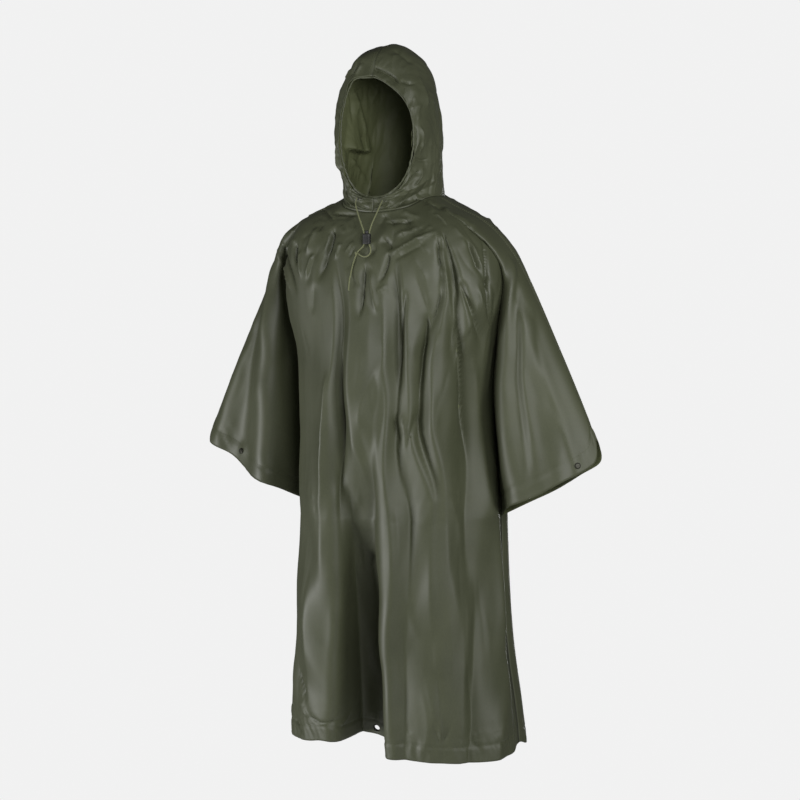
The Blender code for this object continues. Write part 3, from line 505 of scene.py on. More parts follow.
LOCK_PROFILE = (
    (-0.0095, 0.0118, 0.0074, 0.6), (-0.0090, 0.0136, 0.0092, 0.6), (-0.0078, 0.0146, 0.0102, 0.6),
    (-0.0058, 0.0148, 0.0104, 0.6), (-0.0054, 0.0138, 0.0094, 0.6), (-0.0042, 0.0138, 0.0094, 0.6),
    (-0.0038, 0.0148, 0.0104, 0.6), (-0.0022, 0.0148, 0.0104, 0.6), (-0.0018, 0.0138, 0.0094, 0.6),
    (-0.0006, 0.0138, 0.0094, 0.6), (-0.0002, 0.0148, 0.0104, 0.6), (0.0014, 0.0148, 0.0104, 0.6),
    (0.0018, 0.0138, 0.0094, 0.6), (0.0030, 0.0138, 0.0094, 0.6), (0.0034, 0.0150, 0.0105, 0.6),
    (0.0082, 0.0148, 0.0104, 0.6), (0.0092, 0.0136, 0.0092, 0.6), (0.0095, 0.0120, 0.0078, 0.6),
    (0.0095, 0.0064, 0.0064, 1.0), (0.0098, 0.0060, 0.0060, 1.0), (0.0140, 0.0060, 0.0060, 1.0),
    (0.0149, 0.0052, 0.0052, 1.0), (0.0152, 0.0036, 0.0036, 1.0),
)
METAL_NODES = (
    "eyelet_right", "eyelet_left", "grommet_front", "grommet_back",
    "stud_left_front", "stud_left_back", "stud_right_front", "stud_right_back",
)
SEAM_INSET = 0.006
FACE_BAND = 0.012
# Where the lines of stitching run: start, end and points, by run, station, share or turn.
STITCH_LINES = {
    "above_underarm": (0.02, 0.985, 200),
    "below_underarm": (1.01, 1.985, 200),
    "hem": (-0.985, 0.985, 400),
    "sleeve_end": (1.03, 1.97, 120),
    "over_hood": (0.03, 0.93, 200),
    "round_face": (0.03, 1.97, 300),
}

THREAD = 0.00045  # the width of a thread of the weave and of the gap beside it, in metres
WAVE_METRE = 0.314  # the scale at which one wave of a texture is 1 m long
NYLON_GLOSS = 0.04  # how far the roughness of the cloth goes up and down
WEAR_GLOSS = (-0.08, 0.10)


def named(columns, row):
    """A table's row by the names of its columns."""
    return SimpleNamespace(**dict(zip(columns, row)))


def add_object(name, data):
    made = bpy.data.objects.new(name, data)
    bpy.context.scene.collection.objects.link(made)
    return made


def add_aimed(name, data, turn, rise, distance, aim):
    """A camera or a light that looks at a point from degrees round the front and above it."""
    turn, rise = math.radians(turn), math.radians(rise)
    level = math.cos(rise)
    back = Vector((math.sin(turn) * level, -math.cos(turn) * level, math.sin(rise)))
    made = add_object(name, data)
    made.location = Vector(aim) + back * distance
    made.rotation_euler = (-back).to_track_quat("-Z", "Y").to_euler()
    return made


def camera():
    """The camera's place, and the axes by which a point's place in its view is found."""
    lens = bpy.data.cameras.new("camera")
    lens.lens = CAMERA_LENS
    lens.sensor_width = CAMERA_SENSOR
    made = add_aimed("camera", lens, CAMERA_TURN, CAMERA_RISE, CAMERA_DISTANCE, CAMERA_AIM)
    bpy.context.scene.camera = made
    bpy.context.view_layer.update()
    return np.array(made.location), np.array(made.matrix_world.to_3x3())


EYE, EYE_AXES = camera()


def in_view(points):
    """Each point's place in the camera's view, in pixels, and its distance from the eye."""
    local = (points - EYE) @ EYE_AXES
    scale = VIEW * CAMERA_LENS / CAMERA_SENSOR
    x = VIEW / 2 + scale * local[..., 0] / -local[..., 2]
    y = VIEW / 2 - scale * local[..., 1] / -local[..., 2]
    return x, y, -local[..., 2]


def through(table, name, names, at):
    """A smooth curve through one named column of a table, read at the places given."""
    rows = np.array(table, float)
    knots = rows[:, 0]
    values = rows[:, names.index(name)]
    slopes = np.gradient(values, knots)
    at = np.clip(np.asarray(at, float), knots[0], knots[-1])
    low = np.clip(np.searchsorted(knots, at, side="right") - 1, 0, len(knots) - 2)
    step = knots[low + 1] - knots[low]
    s = (at - knots[low]) / step
    start = (1 + 2 * s) * (1 - s) ** 2 * values[low] + s * (1 - s) ** 2 * step * slopes[low]
    end = s * s * (3 - 2 * s) * values[low + 1] + s * s * (s - 1) * step * slopes[low + 1]
    return start + end


def read(table, columns, at):
    """Every column of a table as such a curve, read at the places given."""
    return named(columns[1:], [through(table, name, columns, at) for name in columns[1:]])


def stepped(steps):
    """Values from step to step, each step cut into its own number of parts."""
    parts = [np.linspace(low, high, count + 1)[1:] for low, high, count in steps]
    return np.concatenate([[steps[0][0]], *parts])


def ease(value):
    """From 0 to 1 with level ends."""
    s = np.clip(value, 0.0, 1.0)
    return s * s * (3 - 2 * s)


def late(value, start):
    """From 0 at the start given to 1 at 1, with level ends."""
    return ease((value - start) / (1 - start))


def bell(distance, wide, edge=2.0):
    return np.exp(-(np.abs(distance / wide) ** edge))


def unit(vectors):
    return vectors / np.maximum(np.linalg.norm(vectors, axis=-1, keepdims=True), TINY)


def run_lengths(points, axis=0):
    """How far each point lies from the first one, along the line of points."""
    steps = np.linalg.norm(np.diff(points, axis=axis), axis=-1)
    first = np.zeros_like(steps.take([0], axis))
    return np.concatenate([first, np.cumsum(steps, axis=axis)], axis=axis)


def smooth(rows, passes):
    """Softens an array in place, from row to row."""
    for _ in range(passes):
        rows[1:-1] = (rows[:-2] + 2 * rows[1:-1] + rows[2:]) / 4


def panel_base(side, station, run):
    """Points of the unfolded panel: side is -1 for the front and +1 for the back."""
    table = FRONT_SECTIONS if side < 0 else BACK_SECTIONS
    corner = CORNER * bell(2 - np.abs(station), CORNER_WIDE) * late(run, CORNER_START)
    size = read(table, SECTION_COLUMNS, run)
    ridge = read(RIDGE, RIDGE_COLUMNS, run - corner)
    reach = SECTION_COLUMNS.index("side_reach")
    seam = table[-2][reach] + (table[-1][reach] - table[-2][reach]) * (run - 1)
    size.side_reach = np.where(run > 1, seam, size.side_reach)
    hand = np.sign(station)
    place = np.abs(station)
    for row in SHOULDERS:
        shoulder = named(SHOULDER_COLUMNS, row)
        near = bell(run - shoulder.run, shoulder.wide) * (hand == shoulder.hand)
        ridge.x = ridge.x + shoulder.out * near
        ridge.z = ridge.z + shoulder.up * near

    turn = np.clip(place, 0, 1) * math.pi / 2
    body_x = size.half_width * np.sin(turn)
    bulge = (size.centre_reach - size.side_reach) * np.cos(turn).clip(0) ** SQUARENESS
    body_y = side * (size.side_reach + bulge)
    lift = np.clip(place, 0, 1) ** SIDE_LIFT
    body_z = size.centre_height + (size.side_height - size.centre_height) * lift
    hem = through(FRONT_HEM if side < 0 else BACK_HEM, "lift", HEM_COLUMNS, station)
    body_z = body_z + hem * ease((run - HEM_START) / HEM_LONG)

    out = np.clip(place - 1, 0, 1)
    share = np.sin(out * math.pi / 2)
    arm_x = size.half_width + (ridge.x - size.half_width) * share
    arm_z = size.side_height + (ridge.z - size.side_height) * share
    sag = np.where(hand > 0, ARM_SAG[1], ARM_SAG[-1])
    arm_z = arm_z - sag * np.sin(out * math.pi) * late(run, ARM_SAG_START)
    step = side * size.side_reach - ridge.y - side * size.arm_reach
    arm_y = ridge.y + side * size.arm_reach * np.cos(out * math.pi / 2)
    arm_y = arm_y + step * (1 - out) ** ARM_TURN

    on_arm = place > 1
    x = hand * np.where(on_arm, arm_x, body_x) + size.shift * np.where(on_arm, 1 - share, 1)
    y = np.where(on_arm, arm_y, body_y)
    z = np.where(on_arm, arm_z, body_z)
    return np.stack([x, y, z], axis=-1)


def fold_moves(side, station, run):
    """How far the main folds move the panel out, and how far they lean to the left, in metres."""
    total = np.zeros(np.broadcast(station, run).shape)
    leaning = np.zeros(total.shape)
    for row in FRONT_FOLDS if side < 0 else BACK_FOLDS:
        fold = named(FOLD_COLUMNS, row)
        upper = (run - fold.start) / (1 - fold.start)
        lower = np.clip(run - 1, 0, 1)
        drift = (fold.station_level - fold.station_top) * np.clip(upper, 0, 1)
        centre = fold.station_top + drift
        centre = centre + (fold.station_hem - fold.station_level) * lower
        growth = fold.height_hem - fold.height_level
        height = fold.height_level * ease(upper) + growth * lower ** FOLD_GROWTH
        wide = np.where(station < centre, fold.wide_right, fold.wide_left)
        move = height * bell(station - centre, wide, fold.edge)
        total = total + move
        share = ease((station - centre) / LEAN_BLEND + 0.5)
        leaning = leaning + move * (fold.lean_right * (1 - share) + fold.lean_left * share)
    sleeves = FRONT_SLEEVE_FOLDS if side < 0 else BACK_SLEEVE_FOLDS
    for hand, name in ((1, "left"), (-1, "right")):
        for row in sleeves[name]:
            fold = named(SLEEVE_FOLD_COLUMNS, row)
            upper = np.clip((run - fold.start) / (1 - fold.start), 0, 1)
            drift = (fold.station_level - fold.station_top) * upper
            centre = fold.station_top + drift
            near = bell(hand * station - centre, fold.half_width)
            total = total + fold.height * ease(upper) * near
    ridge = ease((2 - np.abs(station)) / FOLD_RIDGE_FADE)
    seam = 1 - late(run, UNDERARM_START) * bell(np.abs(station) - 1, UNDERARM_WIDE)
    return total * seam * np.where(np.abs(station) > 1, ridge, 1.0), leaning * seam


def panel_points(side, station, run):
    """Points of the folded panel, with room for the seams."""
    ahead = np.minimum(run + NUDGE, 2.0)
    along = panel_base(side, station, ahead) - panel_base(side, station, ahead - 2 * NUDGE)
    across = panel_base(side, station + NUDGE, run) - panel_base(side, station - NUDGE, run)
    out = unit(np.cross(across, along) * side)
    out[..., 2] *= FOLD_RISE * ease((FOLD_LEVEL - run) / FOLD_FADE)
    height, leaning = fold_moves(side, station, run)
    points = panel_base(side, station, run) + out * height[..., None]
    points[..., 0] += leaning
    ridge = bell(2 - np.abs(station), RIDGE_SEAM)
    below = late(run, SIDE_SEAM_START) * bell(np.abs(station) - 1, SIDE_SEAM)
    points[..., 1] += side * (SEAM * ridge + SEAM * below)
    return points


def neck_ring(turn):
    """The neck seam. A turn of 0 is the front, 1 the wearer's left side and 2 the nape."""
    front = panel_points(-1, 2 * np.clip(turn, 0, 1), np.zeros(len(turn)))
    back = panel_points(1, 2 * np.clip(2 - turn, 0, 1), np.zeros(len(turn)))
    return np.where((turn <= 1)[:, None], front, back)


def hood_points(share, turn, hand):
    """Points of one half of the hood, as if it were the left: share 0 is the face opening."""
    here = read(HOOD_PROFILE, HOOD_PROFILE_COLUMNS, abs(share))
    if share < 0:
        edge = read(HOOD_PROFILE, HOOD_PROFILE_COLUMNS, 0)
        beyond = [2 * vars(edge)[name] - vars(here)[name] for name in vars(edge)]
        here = named(vars(edge), beyond)
    crown = np.array([0, here.y, here.z])
    chin = np.array([0, here.chin_y, here.chin_z])
    angle = turn * math.pi / 2
    ring = (crown + chin) / 2 + np.outer(-np.cos(angle), (crown - chin) / 2)
    opening = 1 - ease(share / FACE_FADE)
    half_width = here.half_width * (1 + FACE_WIDER[hand] * opening)
    roundness = HOOD_ROUND + (FACE_ROUND[hand] - HOOD_ROUND) * opening * ease(turn - 1)
    ring[:, 0] = half_width * np.sin(angle).clip(0) ** roundness
    seam = neck_ring(turn)
    seam[:, 2] += NECK_SEAM
    settle = late(share, HOOD_SETTLE)
    return ring * (1 - settle) + seam * settle


def face_ring(share, turns):
    """A whole ring of the hood: a turn of 0 and 4 is the chin and 2 the crown."""
    left = hood_points(share, np.minimum(turns, 4 - turns), 1)
    right = hood_points(share, np.minimum(turns, 4 - turns), -1)
    right[:, 0] *= -1
    return np.where((turns > 2)[:, None], right, left)


class Net:
    """A sheet of cloth as rows and columns of points, with its outward normals and its lengths."""

    def __init__(self, rows, columns, points, outward, kept=None):
        self.rows = rows
        self.columns = columns
        self.points = points
        self.outward = outward
        self.kept = np.ones(points.shape[:2], bool) if kept is None else kept
        self.measure()

    def measure(self):
        down = np.gradient(self.points, axis=0)
        across = np.gradient(self.points, axis=1)
        self.normals = unit(np.cross(across, down) * self.outward)
        middle = self.points.shape[1] // 2
        wide = run_lengths(self.points, 1)
        self.across = wide - wide[:, middle:middle + 1]
        self.down = run_lengths(self.points, 0)

    def blank(self):
        return np.zeros(self.kept.shape)

    def push(self, height):
        """Moves the points out along the normals."""
        self.points = self.points + self.normals * height[..., None]
        self.measure()

    def to_edge(self):
        """How far each point is from the lower edge of its column, along the cloth."""
        last = self.kept.shape[0] - 1 - self.kept[::-1].argmax(axis=0)
        return self.down[last, np.arange(len(last))] - self.down

    def beside(self, rows, edge, inset):
        """Columns that lie the inset to one side of the edge column, at the rows given."""
        found = []
        for row in rows:
            across = self.across[np.abs(self.rows - row).argmin()]
            zero = np.interp(edge, self.columns, across)
            found.append(np.interp(zero + inset, across, self.columns))
        return np.array(found)

    def below(self, columns, inset, down=None):
        """Rows that lie the inset below the upper edge, at the columns given."""
        down = self.down if down is None else down
        picks = [np.abs(self.columns - column).argmin() for column in columns]
        return np.array([np.interp(inset, down[:, pick], self.rows) for pick in picks])

    def above(self, columns, inset):
        """Rows that lie the inset above the lower edge, at the columns given."""
        return self.below(columns, -inset, -self.to_edge())

    def at(self, column, row):
        """The point and the normal at a place given by column and row values."""
        across = np.interp(column, self.columns, np.arange(len(self.columns)))
        down = np.interp(row, self.rows, np.arange(len(self.rows)))
        return self.between(self.points, across, down), self.between(self.normals, across, down)

    @staticmethod
    def between(values, across, down):
        i = np.clip(np.floor(down).astype(int), 0, values.shape[0] - 2)
        j = np.clip(np.floor(across).astype(int), 0, values.shape[1] - 2)
        s = np.asarray(down - i)[..., None]
        t = np.asarray(across - j)[..., None]
        upper = values[i, j] * (1 - t) + values[i, j + 1] * t
        lower = values[i + 1, j] * (1 - t) + values[i + 1, j + 1] * t
        return upper * (1 - s) + lower * s


def seen_from_eye(net, places, inner):
    """Points of the net's outside or inside where places of the camera's view fall on it."""
    points = net.points[net.kept]
    x, y, away = in_view(points)
    facing = (((EYE - points) * net.normals[net.kept]).sum(axis=-1) > 0) != inner
    found = []
    for px, py in places:
        gap = np.hypot(x - px, y - py) + np.where(facing, 0, PICK_AWAY)
        near = gap < max(gap.min() + PICK_SPREAD, PICK_NEAR)
        front = near & (away < away[near].min() + PICK_DEEP)
        weight = 1 / (gap[front] + PICK_SOFT) ** 2
        found.append((points[front] * weight[:, None]).sum(axis=0) / weight.sum())
    return np.array(found)


def bend(row):
    """Places on a smooth curve through the three points that a crease's row begins with."""
    first, middle, last = np.array(row[:6], float).reshape(3, 1, 2)
    s = np.linspace(0, 1, CREASE_POINTS)[:, None]
    return first * (1 - s) * (1 - 2 * s) + middle * 4 * s * (1 - s) + last * s * (2 * s - 1)


def crease(net, line, right, left, height, fan):
    """The height of one crease along a line of points on the net."""
    total = net.blank()
    reach = CREASE_REACH * max(right, left) * max(fan, 1)
    low, high = line.min(axis=0) - reach, line.max(axis=0) + reach
    near = np.all((net.points > low) & (net.points < high), axis=-1)
    points = net.points[near]
    if not len(points):
        return total
    tangents = np.gradient(line, axis=0)
    lengths = np.linalg.norm(tangents, axis=1)
    delta = points[:, None, :] - line[None, :, :]
    pick = (delta ** 2).sum(axis=-1).argmin(axis=1)
    delta = delta[np.arange(len(points)), pick]
    tangent = (tangents / lengths[:, None])[pick]
    slip = (delta * tangent).sum(axis=-1)
    share = (pick + slip / lengths[pick]) / (len(line) - 1)
    off = delta - tangent * slip[:, None]
    sideways = (np.cross(net.normals[near], tangent) * off).sum(axis=-1)
    wide = np.where(sideways > 0, right, left) * (1 + (fan - 1) * np.clip(share, 0, 1))
    taper = ease(share / CREASE_IN) * ease((1 - share) / CREASE_OUT)
    total[near] = height * bell(np.linalg.norm(off, axis=-1), wide, CREASE_EDGE) * taper
    return total


def add_creases(net, table, in_pixels, inner=False):
    """Creases laid one by one, by pixels of the view or by the net's own columns and rows."""
    total = net.blank()
    for row in table:
        size = named(CREASE_COLUMNS, row)
        places = bend(row)
        if in_pixels:
            line = seen_from_eye(net, places, inner)
        else:
            line = net.at(places[:, 0], places[:, 1])[0]
        smooth(line, CREASE_SMOOTH)
        right, left = MILLIMETRE * size.right, MILLIMETRE * size.left
        total += crease(net, line, right, left, CREASE_SCALE * size.height, size.fan)
    return total


def scattered(net, table):
    """Small creases strewn over parts of a net; each row places its own from one seed."""
    total = net.blank()
    for row in table:
        size = named(SCATTER_COLUMNS, row)
        pick = np.random.default_rng(size.seed)
        for _ in range(size.count):
            column = pick.uniform(size.column_low, size.column_high)
            down = pick.uniform(size.row_low, size.row_high)
            i = np.abs(net.rows - down).argmin()
            j = np.abs(net.columns - column).argmin()
            angle = pick.normal(0, size.turn) + size.fan * column
            reach = pick.uniform(SCATTER_LEAST, 1.0) * size.long
            steps = np.linspace(-0.5, 0.5, SCATTER_POINTS) * reach
            arc = np.sin(np.linspace(0, math.pi, SCATTER_POINTS))
            sway = SCATTER_SWAY * reach * arc * pick.uniform(-1, 1)
            across = net.across[i, j] + steps * math.sin(angle) + sway * math.cos(angle)
            along = net.down[i, j] + steps * math.cos(angle) - sway * math.sin(angle)
            columns = np.interp(across, net.across[i], net.columns)
            line = net.at(columns, np.interp(along, net.down[:, j], net.rows))[0]
            right = size.wide * pick.uniform(SCATTER_LEAST, 1.0)
            left = size.wide * pick.uniform(SCATTER_LEAST, 1.0)
            height = size.height * pick.uniform(SCATTER_LOWEST, 1.0) * pick.choice((-1, 1))
            total += crease(net, line, right, left, height, SCATTER_FAN)
    return total


def crinkle(net, shift, seed, across, down, height, sharp=False):
    """Soft or sharp small waves of the cloth, from noise laid out along its own lengths."""
    total = net.blank()
    seed = seed + shift
    for i, j in zip(*np.nonzero(net.kept)):
        place = (net.across[i, j] / across + seed, net.down[i, j] / down, seed * WAVE_SPREAD)
        total[i, j] = noise.noise(place)
    if sharp:
        total = WAVE_SHARP - np.abs(total)
    return total * height


def pleat_height(x, level, levels, lines):
    """Heights between the pleats' lines at places x, each at its own level."""
    places = np.array([np.interp(level, levels, line[0]) for line in lines])
    heights = np.array([np.interp(level, levels, line[1]) for line in lines])
    after = np.clip((places <= x).sum(axis=0), 1, len(lines) - 1)
    pick = np.arange(len(x))
    low, high = places[after - 1, pick], places[after, pick]
    share = np.clip((x - low) / np.maximum(high - low, TINY), 0, 1)
    height = heights[after - 1, pick] * (1 - share) + heights[after, pick] * share
    return height * PLEAT_SCALE


def front_pleats(net):
    x, y, _ = in_view(net.points)
    x = x + crinkle(net, 0, *PLEAT_SWAY)
    stations = np.broadcast_to(net.columns, x.shape)
    total = net.blank()
    for part, levels, lines in (
        (np.abs(stations) <= 1, BODY_LEVELS, BODY_LINES),
        (stations > 1, LEFT_SLEEVE_LEVELS, LEFT_SLEEVE_LINES),
        (stations < -1, RIGHT_SLEEVE_LEVELS, RIGHT_SLEEVE_LINES),
    ):
        total[part] = pleat_height(x[part], y[part], levels, lines)
    total *= ease((stations + 2) / RIDGE_FADE) * ease((2 - stations) / RIDGE_FADE)
    beside = ease(np.abs(stations - PLEAT_SIDE) / PLEAT_SIDE_FADE)
    total *= beside * ease((y - PLEAT_TOP) / PLEAT_TOP_LONG)
    total *= 1 + crinkle(net, 0, *PLEAT_CHANGE)
    smooth(total.T, ROUNDING[0])
    smooth(total, ROUNDING[1])
    return total


def add_mesh(name, points, faces, *surfaces):
    mesh = bpy.data.meshes.new(name)
    mesh.from_pydata(points, [], faces)
    for surface in surfaces:
        mesh.materials.append(surface)
    return add_object(name, mesh)


def worn(made, slot, *nodes):
    """Makes an object a piece of the part, in place of the solids named."""
    if nodes:
        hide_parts(*nodes)
    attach(made, ROOT)
    return made


def net_object(name, net, surfaces, flip):
    """A mesh of the net with its lengths as UVs, in metres."""
    number = np.full(net.points.shape[:2], -1)
    number[net.kept] = np.arange(net.kept.sum())
    corners = (number[:-1, :-1], number[:-1, 1:], number[1:, 1:], number[1:, :-1])
    quads = np.stack(corners, axis=-1).reshape(-1, 4)
    quads = quads[(quads >= 0).all(axis=1)]
    if flip:
        quads = quads[:, ::-1]
    made = add_mesh(name, net.points[net.kept].tolist(), quads.tolist(), *surfaces)
    uv = made.data.uv_layers.new(name="lengths")
    lengths = np.stack([net.across[net.kept], net.down[net.kept]], axis=-1)
    uv.data.foreach_set("uv", lengths[quads.reshape(-1)].reshape(-1).astype(np.float32))
    made.data.polygons.foreach_set("use_smooth", [True] * len(quads))
    return made


def cloth_piece(name, net, node, surfaces, flip):
    """A net as a thin shell that stands for one solid."""
    made = net_object(name, net, surfaces, flip)
    shell = made.modifiers.new("shell", "SOLIDIFY")
    shell.thickness = SHELL
    shell.offset = 0.0
    shell.material_offset = 1
    shell.material_offset_rim = 0
    return worn(made, "cloth", node)


def new_material(name):
    made = bpy.data.materials.new(name)
    made.use_nodes = True
    return made, made.node_tree, made.node_tree.nodes["Principled BSDF"]


def add_node(tree, kind, values):
    """A node with the values of its inputs."""
    made = tree.nodes.new(kind)
    for socket, value in values.items():
        made.inputs[socket].default_value = value
    return made


def link(tree, start, output, end, socket):
    tree.links.new(start.outputs[output], end.inputs[socket])


def noise_node(tree, place, output, values):
    made = add_node(tree, "ShaderNodeTexNoise", values)
    link(tree, place, output, made, "Vector")
    return made


def two_tones(tree, source, output, shader, dark, light, low=0.0, high=1.0):
    """The shader's colour, between two tones by the output of a node."""
    ramp = add_node(tree, "ShaderNodeValToRGB", {})
    for stop, place, tone in zip(ramp.color_ramp.elements, (low, high), (dark, light)):
        stop.position = place
        stop.color = (*tone, 1)
    link(tree, source, output, ramp, "Fac")
    link(tree, ramp, "Color", shader, "Base Color")


def uneven_gloss(tree, source, shader, least, most, low=0.0, high=1.0):
    """The shader's roughness, between two values by a noise."""
    limits = {"From Min": low, "From Max": high, "To Min": least, "To Max": most}
    gloss = add_node(tree, "ShaderNodeMapRange", limits)
    link(tree, source, "Fac", gloss, "Value")
    link(tree, gloss, "Result", shader, "Roughness")


def crossed_waves(tree, place, output, directions, values):
    """Two sets of bands that cross, for threads or strands."""
    cross = add_node(tree, "ShaderNodeMath", {})
    cross.operation = "MULTIPLY"
    for socket, direction in enumerate(directions):
        wave = add_node(tree, "ShaderNodeTexWave", values)
        wave.wave_type = "BANDS"
        wave.bands_direction = direction
        link(tree, place, output, wave, "Vector")
        link(tree, wave, "Fac", cross, socket)
    return cross


def bump(tree, source, output, end, strength, distance):
    made = add_node(tree, "ShaderNodeBump", {"Strength": strength, "Distance": distance})
    link(tree, source, output, made, "Height")
    link(tree, made, "Normal", end, "Normal")
    return made


def nylon(name, dark, light, roughness, specular):
    """Coated nylon taffeta: a fine weave, a faint crinkle and an uneven satin gloss."""
    made, tree, shader = new_material(name)
    lengths = add_node(tree, "ShaderNodeUVMap", {})
    lengths.uv_map = "lengths"
    place = add_node(tree, "ShaderNodeTexCoord", {})
    patches = noise_node(tree, place, "Object", {"Scale": 9.0, "Detail": 4.0})
    fine = noise_node(tree, lengths, "UV", {"Scale": 260.0, "Detail": 3.0})
    blend = add_node(tree, "ShaderNodeMix", {0: 0.3})
    link(tree, patches, "Fac", blend, 2)
    link(tree, fine, "Fac", blend, 3)
    two_tones(tree, blend, 0, shader, dark, light, low=0.3, high=0.7)
    least, most = roughness - NYLON_GLOSS, roughness + NYLON_GLOSS
    uneven_gloss(tree, patches, shader, least, most, low=0.3, high=0.7)
    shader.inputs["Specular IOR Level"].default_value = specular
    creases = noise_node(tree, lengths, "UV", {"Scale": 55.0, "Detail": 5.0, "Roughness": 0.55})
    folds = bump(tree, creases, "Fac", shader, strength=0.2, distance=0.0002)
    weave = crossed_waves(tree, lengths, "UV", "XY", {"Scale": WAVE_METRE / THREAD / 2})
    bump(tree, weave, "Value", folds, strength=0.15, distance=0.00004)
    return made


def braid(name, dark, light):
    """A braided cord: crossed strands, with a painted highlight on their raised backs and painted
    shade in the grooves between them.
    """
    made, tree, shader = new_material(name)
    place = add_node(tree, "ShaderNodeTexCoord", {})
    strands = {"Scale": 320.0, "Distortion": 0.6}
    cross = crossed_waves(tree, place, "Object", ("Z", "DIAGONAL"), strands)
    # Painted highlight and shade: the colour follows the same bands as the bump, lighter where the
    # strands rise and darker between them.
    two_tones(tree, cross, "Value", shader, dark, light)
    bump(tree, cross, "Value", shader, strength=0.6, distance=0.0003)
    shader.inputs["Roughness"].default_value = 0.75
    shader.inputs["Sheen Weight"].default_value = 0.2
    return made


def rubbed(name, dark, light, metallic, roughness):
    """A small fitting's surface, uneven in colour and gloss where it has been handled."""
    made, tree, shader = new_material(name)
    place = add_node(tree, "ShaderNodeTexCoord", {})
    wear = noise_node(tree, place, "Object", {"Scale": 700.0, "Detail": 4.0})
    two_tones(tree, wear, "Fac", shader, dark, light, low=0.35, high=0.68)
    uneven_gloss(tree, wear, shader, roughness + WEAR_GLOSS[0], roughness + WEAR_GLOSS[1])
    shader.inputs["Metallic"].default_value = metallic
    return made


def repaint(node, surface):
    """Gives a solid that is kept as it is its own surface."""
    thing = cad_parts[node]
    if not thing.material_slots:
        thing.data.materials.append(surface)
    for place in thing.material_slots:
        place.material = surface


def read_along(at, lengths, values):
    """Points or normals at distances along a line, where each stands at its own length."""
    return np.stack([np.interp(at, lengths, column) for column in values.T], axis=1)


def stitches(name, nets_and_lines, surface):
    """Short threads that lie along lines on the nets, in one mesh."""
    vertices, faces = [], []
    shape = np.array(STITCH_CORNERS) * STITCH
    for net, columns, rows in nets_and_lines:
        points, normals = net.at(columns, rows)
        points = points + normals * SHELL / 2
        lengths = run_lengths(points)
        at = np.arange(STITCH_PITCH, lengths[-1] - STITCH_PITCH, STITCH_PITCH)
        middle = read_along(at, lengths, points)
        along = unit(read_along(at + NUDGE, lengths, points) - middle)
        up = read_along(at, lengths, normals)
        up = unit(up - along * (up * along).sum(axis=1, keepdims=True))
        frames = np.stack([along, np.cross(up, along), up], axis=1)
        corners = middle[:, None, :] + np.einsum("ij,njk->nik", shape, frames)
        first = len(vertices) + len(shape) * np.arange(len(at))
        faces.extend((first[:, None, None] + np.array(STITCH_SIDES)).reshape(-1, 4).tolist())
        vertices.extend(corners.reshape(-1, 3).tolist())
    return worn(add_mesh(name, vertices, faces, surface), "cloth")


def hem_band(net):
    """The doubled cloth at the lower edge, its sewn line and the small puckers along it."""
    edge = net.to_edge()
    raised = HEM_RAISE * ease((HEM_BAND - edge) / HEM_STEP)
    sewn = -HEM_SEWN * bell(edge - HEM_BAND, HEM_STEP)
    inside_hem = bell(edge - HEM_BAND * HEM_PUCKER_PLACE, HEM_PUCKER_REACH, HEM_PUCKER_EDGE)
    return raised + sewn + crinkle(net, 0, *HEM_PUCKERS) * inside_hem


def clear_of_fittings(net, side):
    """0 at the fittings on this panel and 1 away from them."""
    clear = net.blank() + 1
    for fitting_side, station, run in STUDS + GROMMETS:
        if fitting_side == side:
            place, _ = net.at(station, run)
            clear *= 1 - bell(np.linalg.norm(net.points - place, axis=-1), FITTING_CLEAR)
    return clear


def panel(name, side, node, surfaces):
    """The front or the back with its sleeves, as a thin shell with its creases."""
    body = np.linspace(-1, 1, BODY_COLUMNS + 1)
    arm = np.linspace(1, 2, SLEEVE_COLUMNS + 1)[1:]
    stations = np.concatenate([-arm[::-1], body, arm])
    runs = np.concatenate([stepped(UPPER_STEPS), stepped(LOWER_STEPS)[1:]])
    place = np.abs(stations)
    kept = (place < 1 + TINY)[None, :] | (runs < 1 + TINY)[:, None]
    every_station = np.broadcast_to(stations, kept.shape)
    points = panel_points(side, every_station, np.broadcast_to(runs[:, None], kept.shape))
    net = Net(runs, stations, points, side, kept)
    below = late(runs, SHELL_SEAM_START)[:, None] * bell(place - 1, SHELL_SEAM)
    seam = np.maximum(bell(2 - place, SHELL_SEAM)[None, :], below)
    net.points[..., 1] -= side * (SEAM + SHELL / 2) * seam
    net.push(WALL * (1 - seam))
    clear = clear_of_fittings(net, side)
    if side < 0:
        height = front_pleats(net)
        height += add_creases(net, FRONT_CREASES, True)
        height += scattered(net, FRONT_SCATTER)
    else:
        height = add_creases(net, BACK_CREASES, False)
        height += scattered(net, BACK_SCATTER)
    for waves in PANEL_WAVES:
        height += crinkle(net, side, *waves)
    ridge = ease((2 - place) / RIDGE_FADE)
    net.push(height * clear * (1 - seam) * ease(runs / NECK_FADE)[:, None] * ridge)
    net.push(hem_band(net) * clear * (1 - seam))
    return cloth_piece(name, net, node, surfaces, side < 0), net


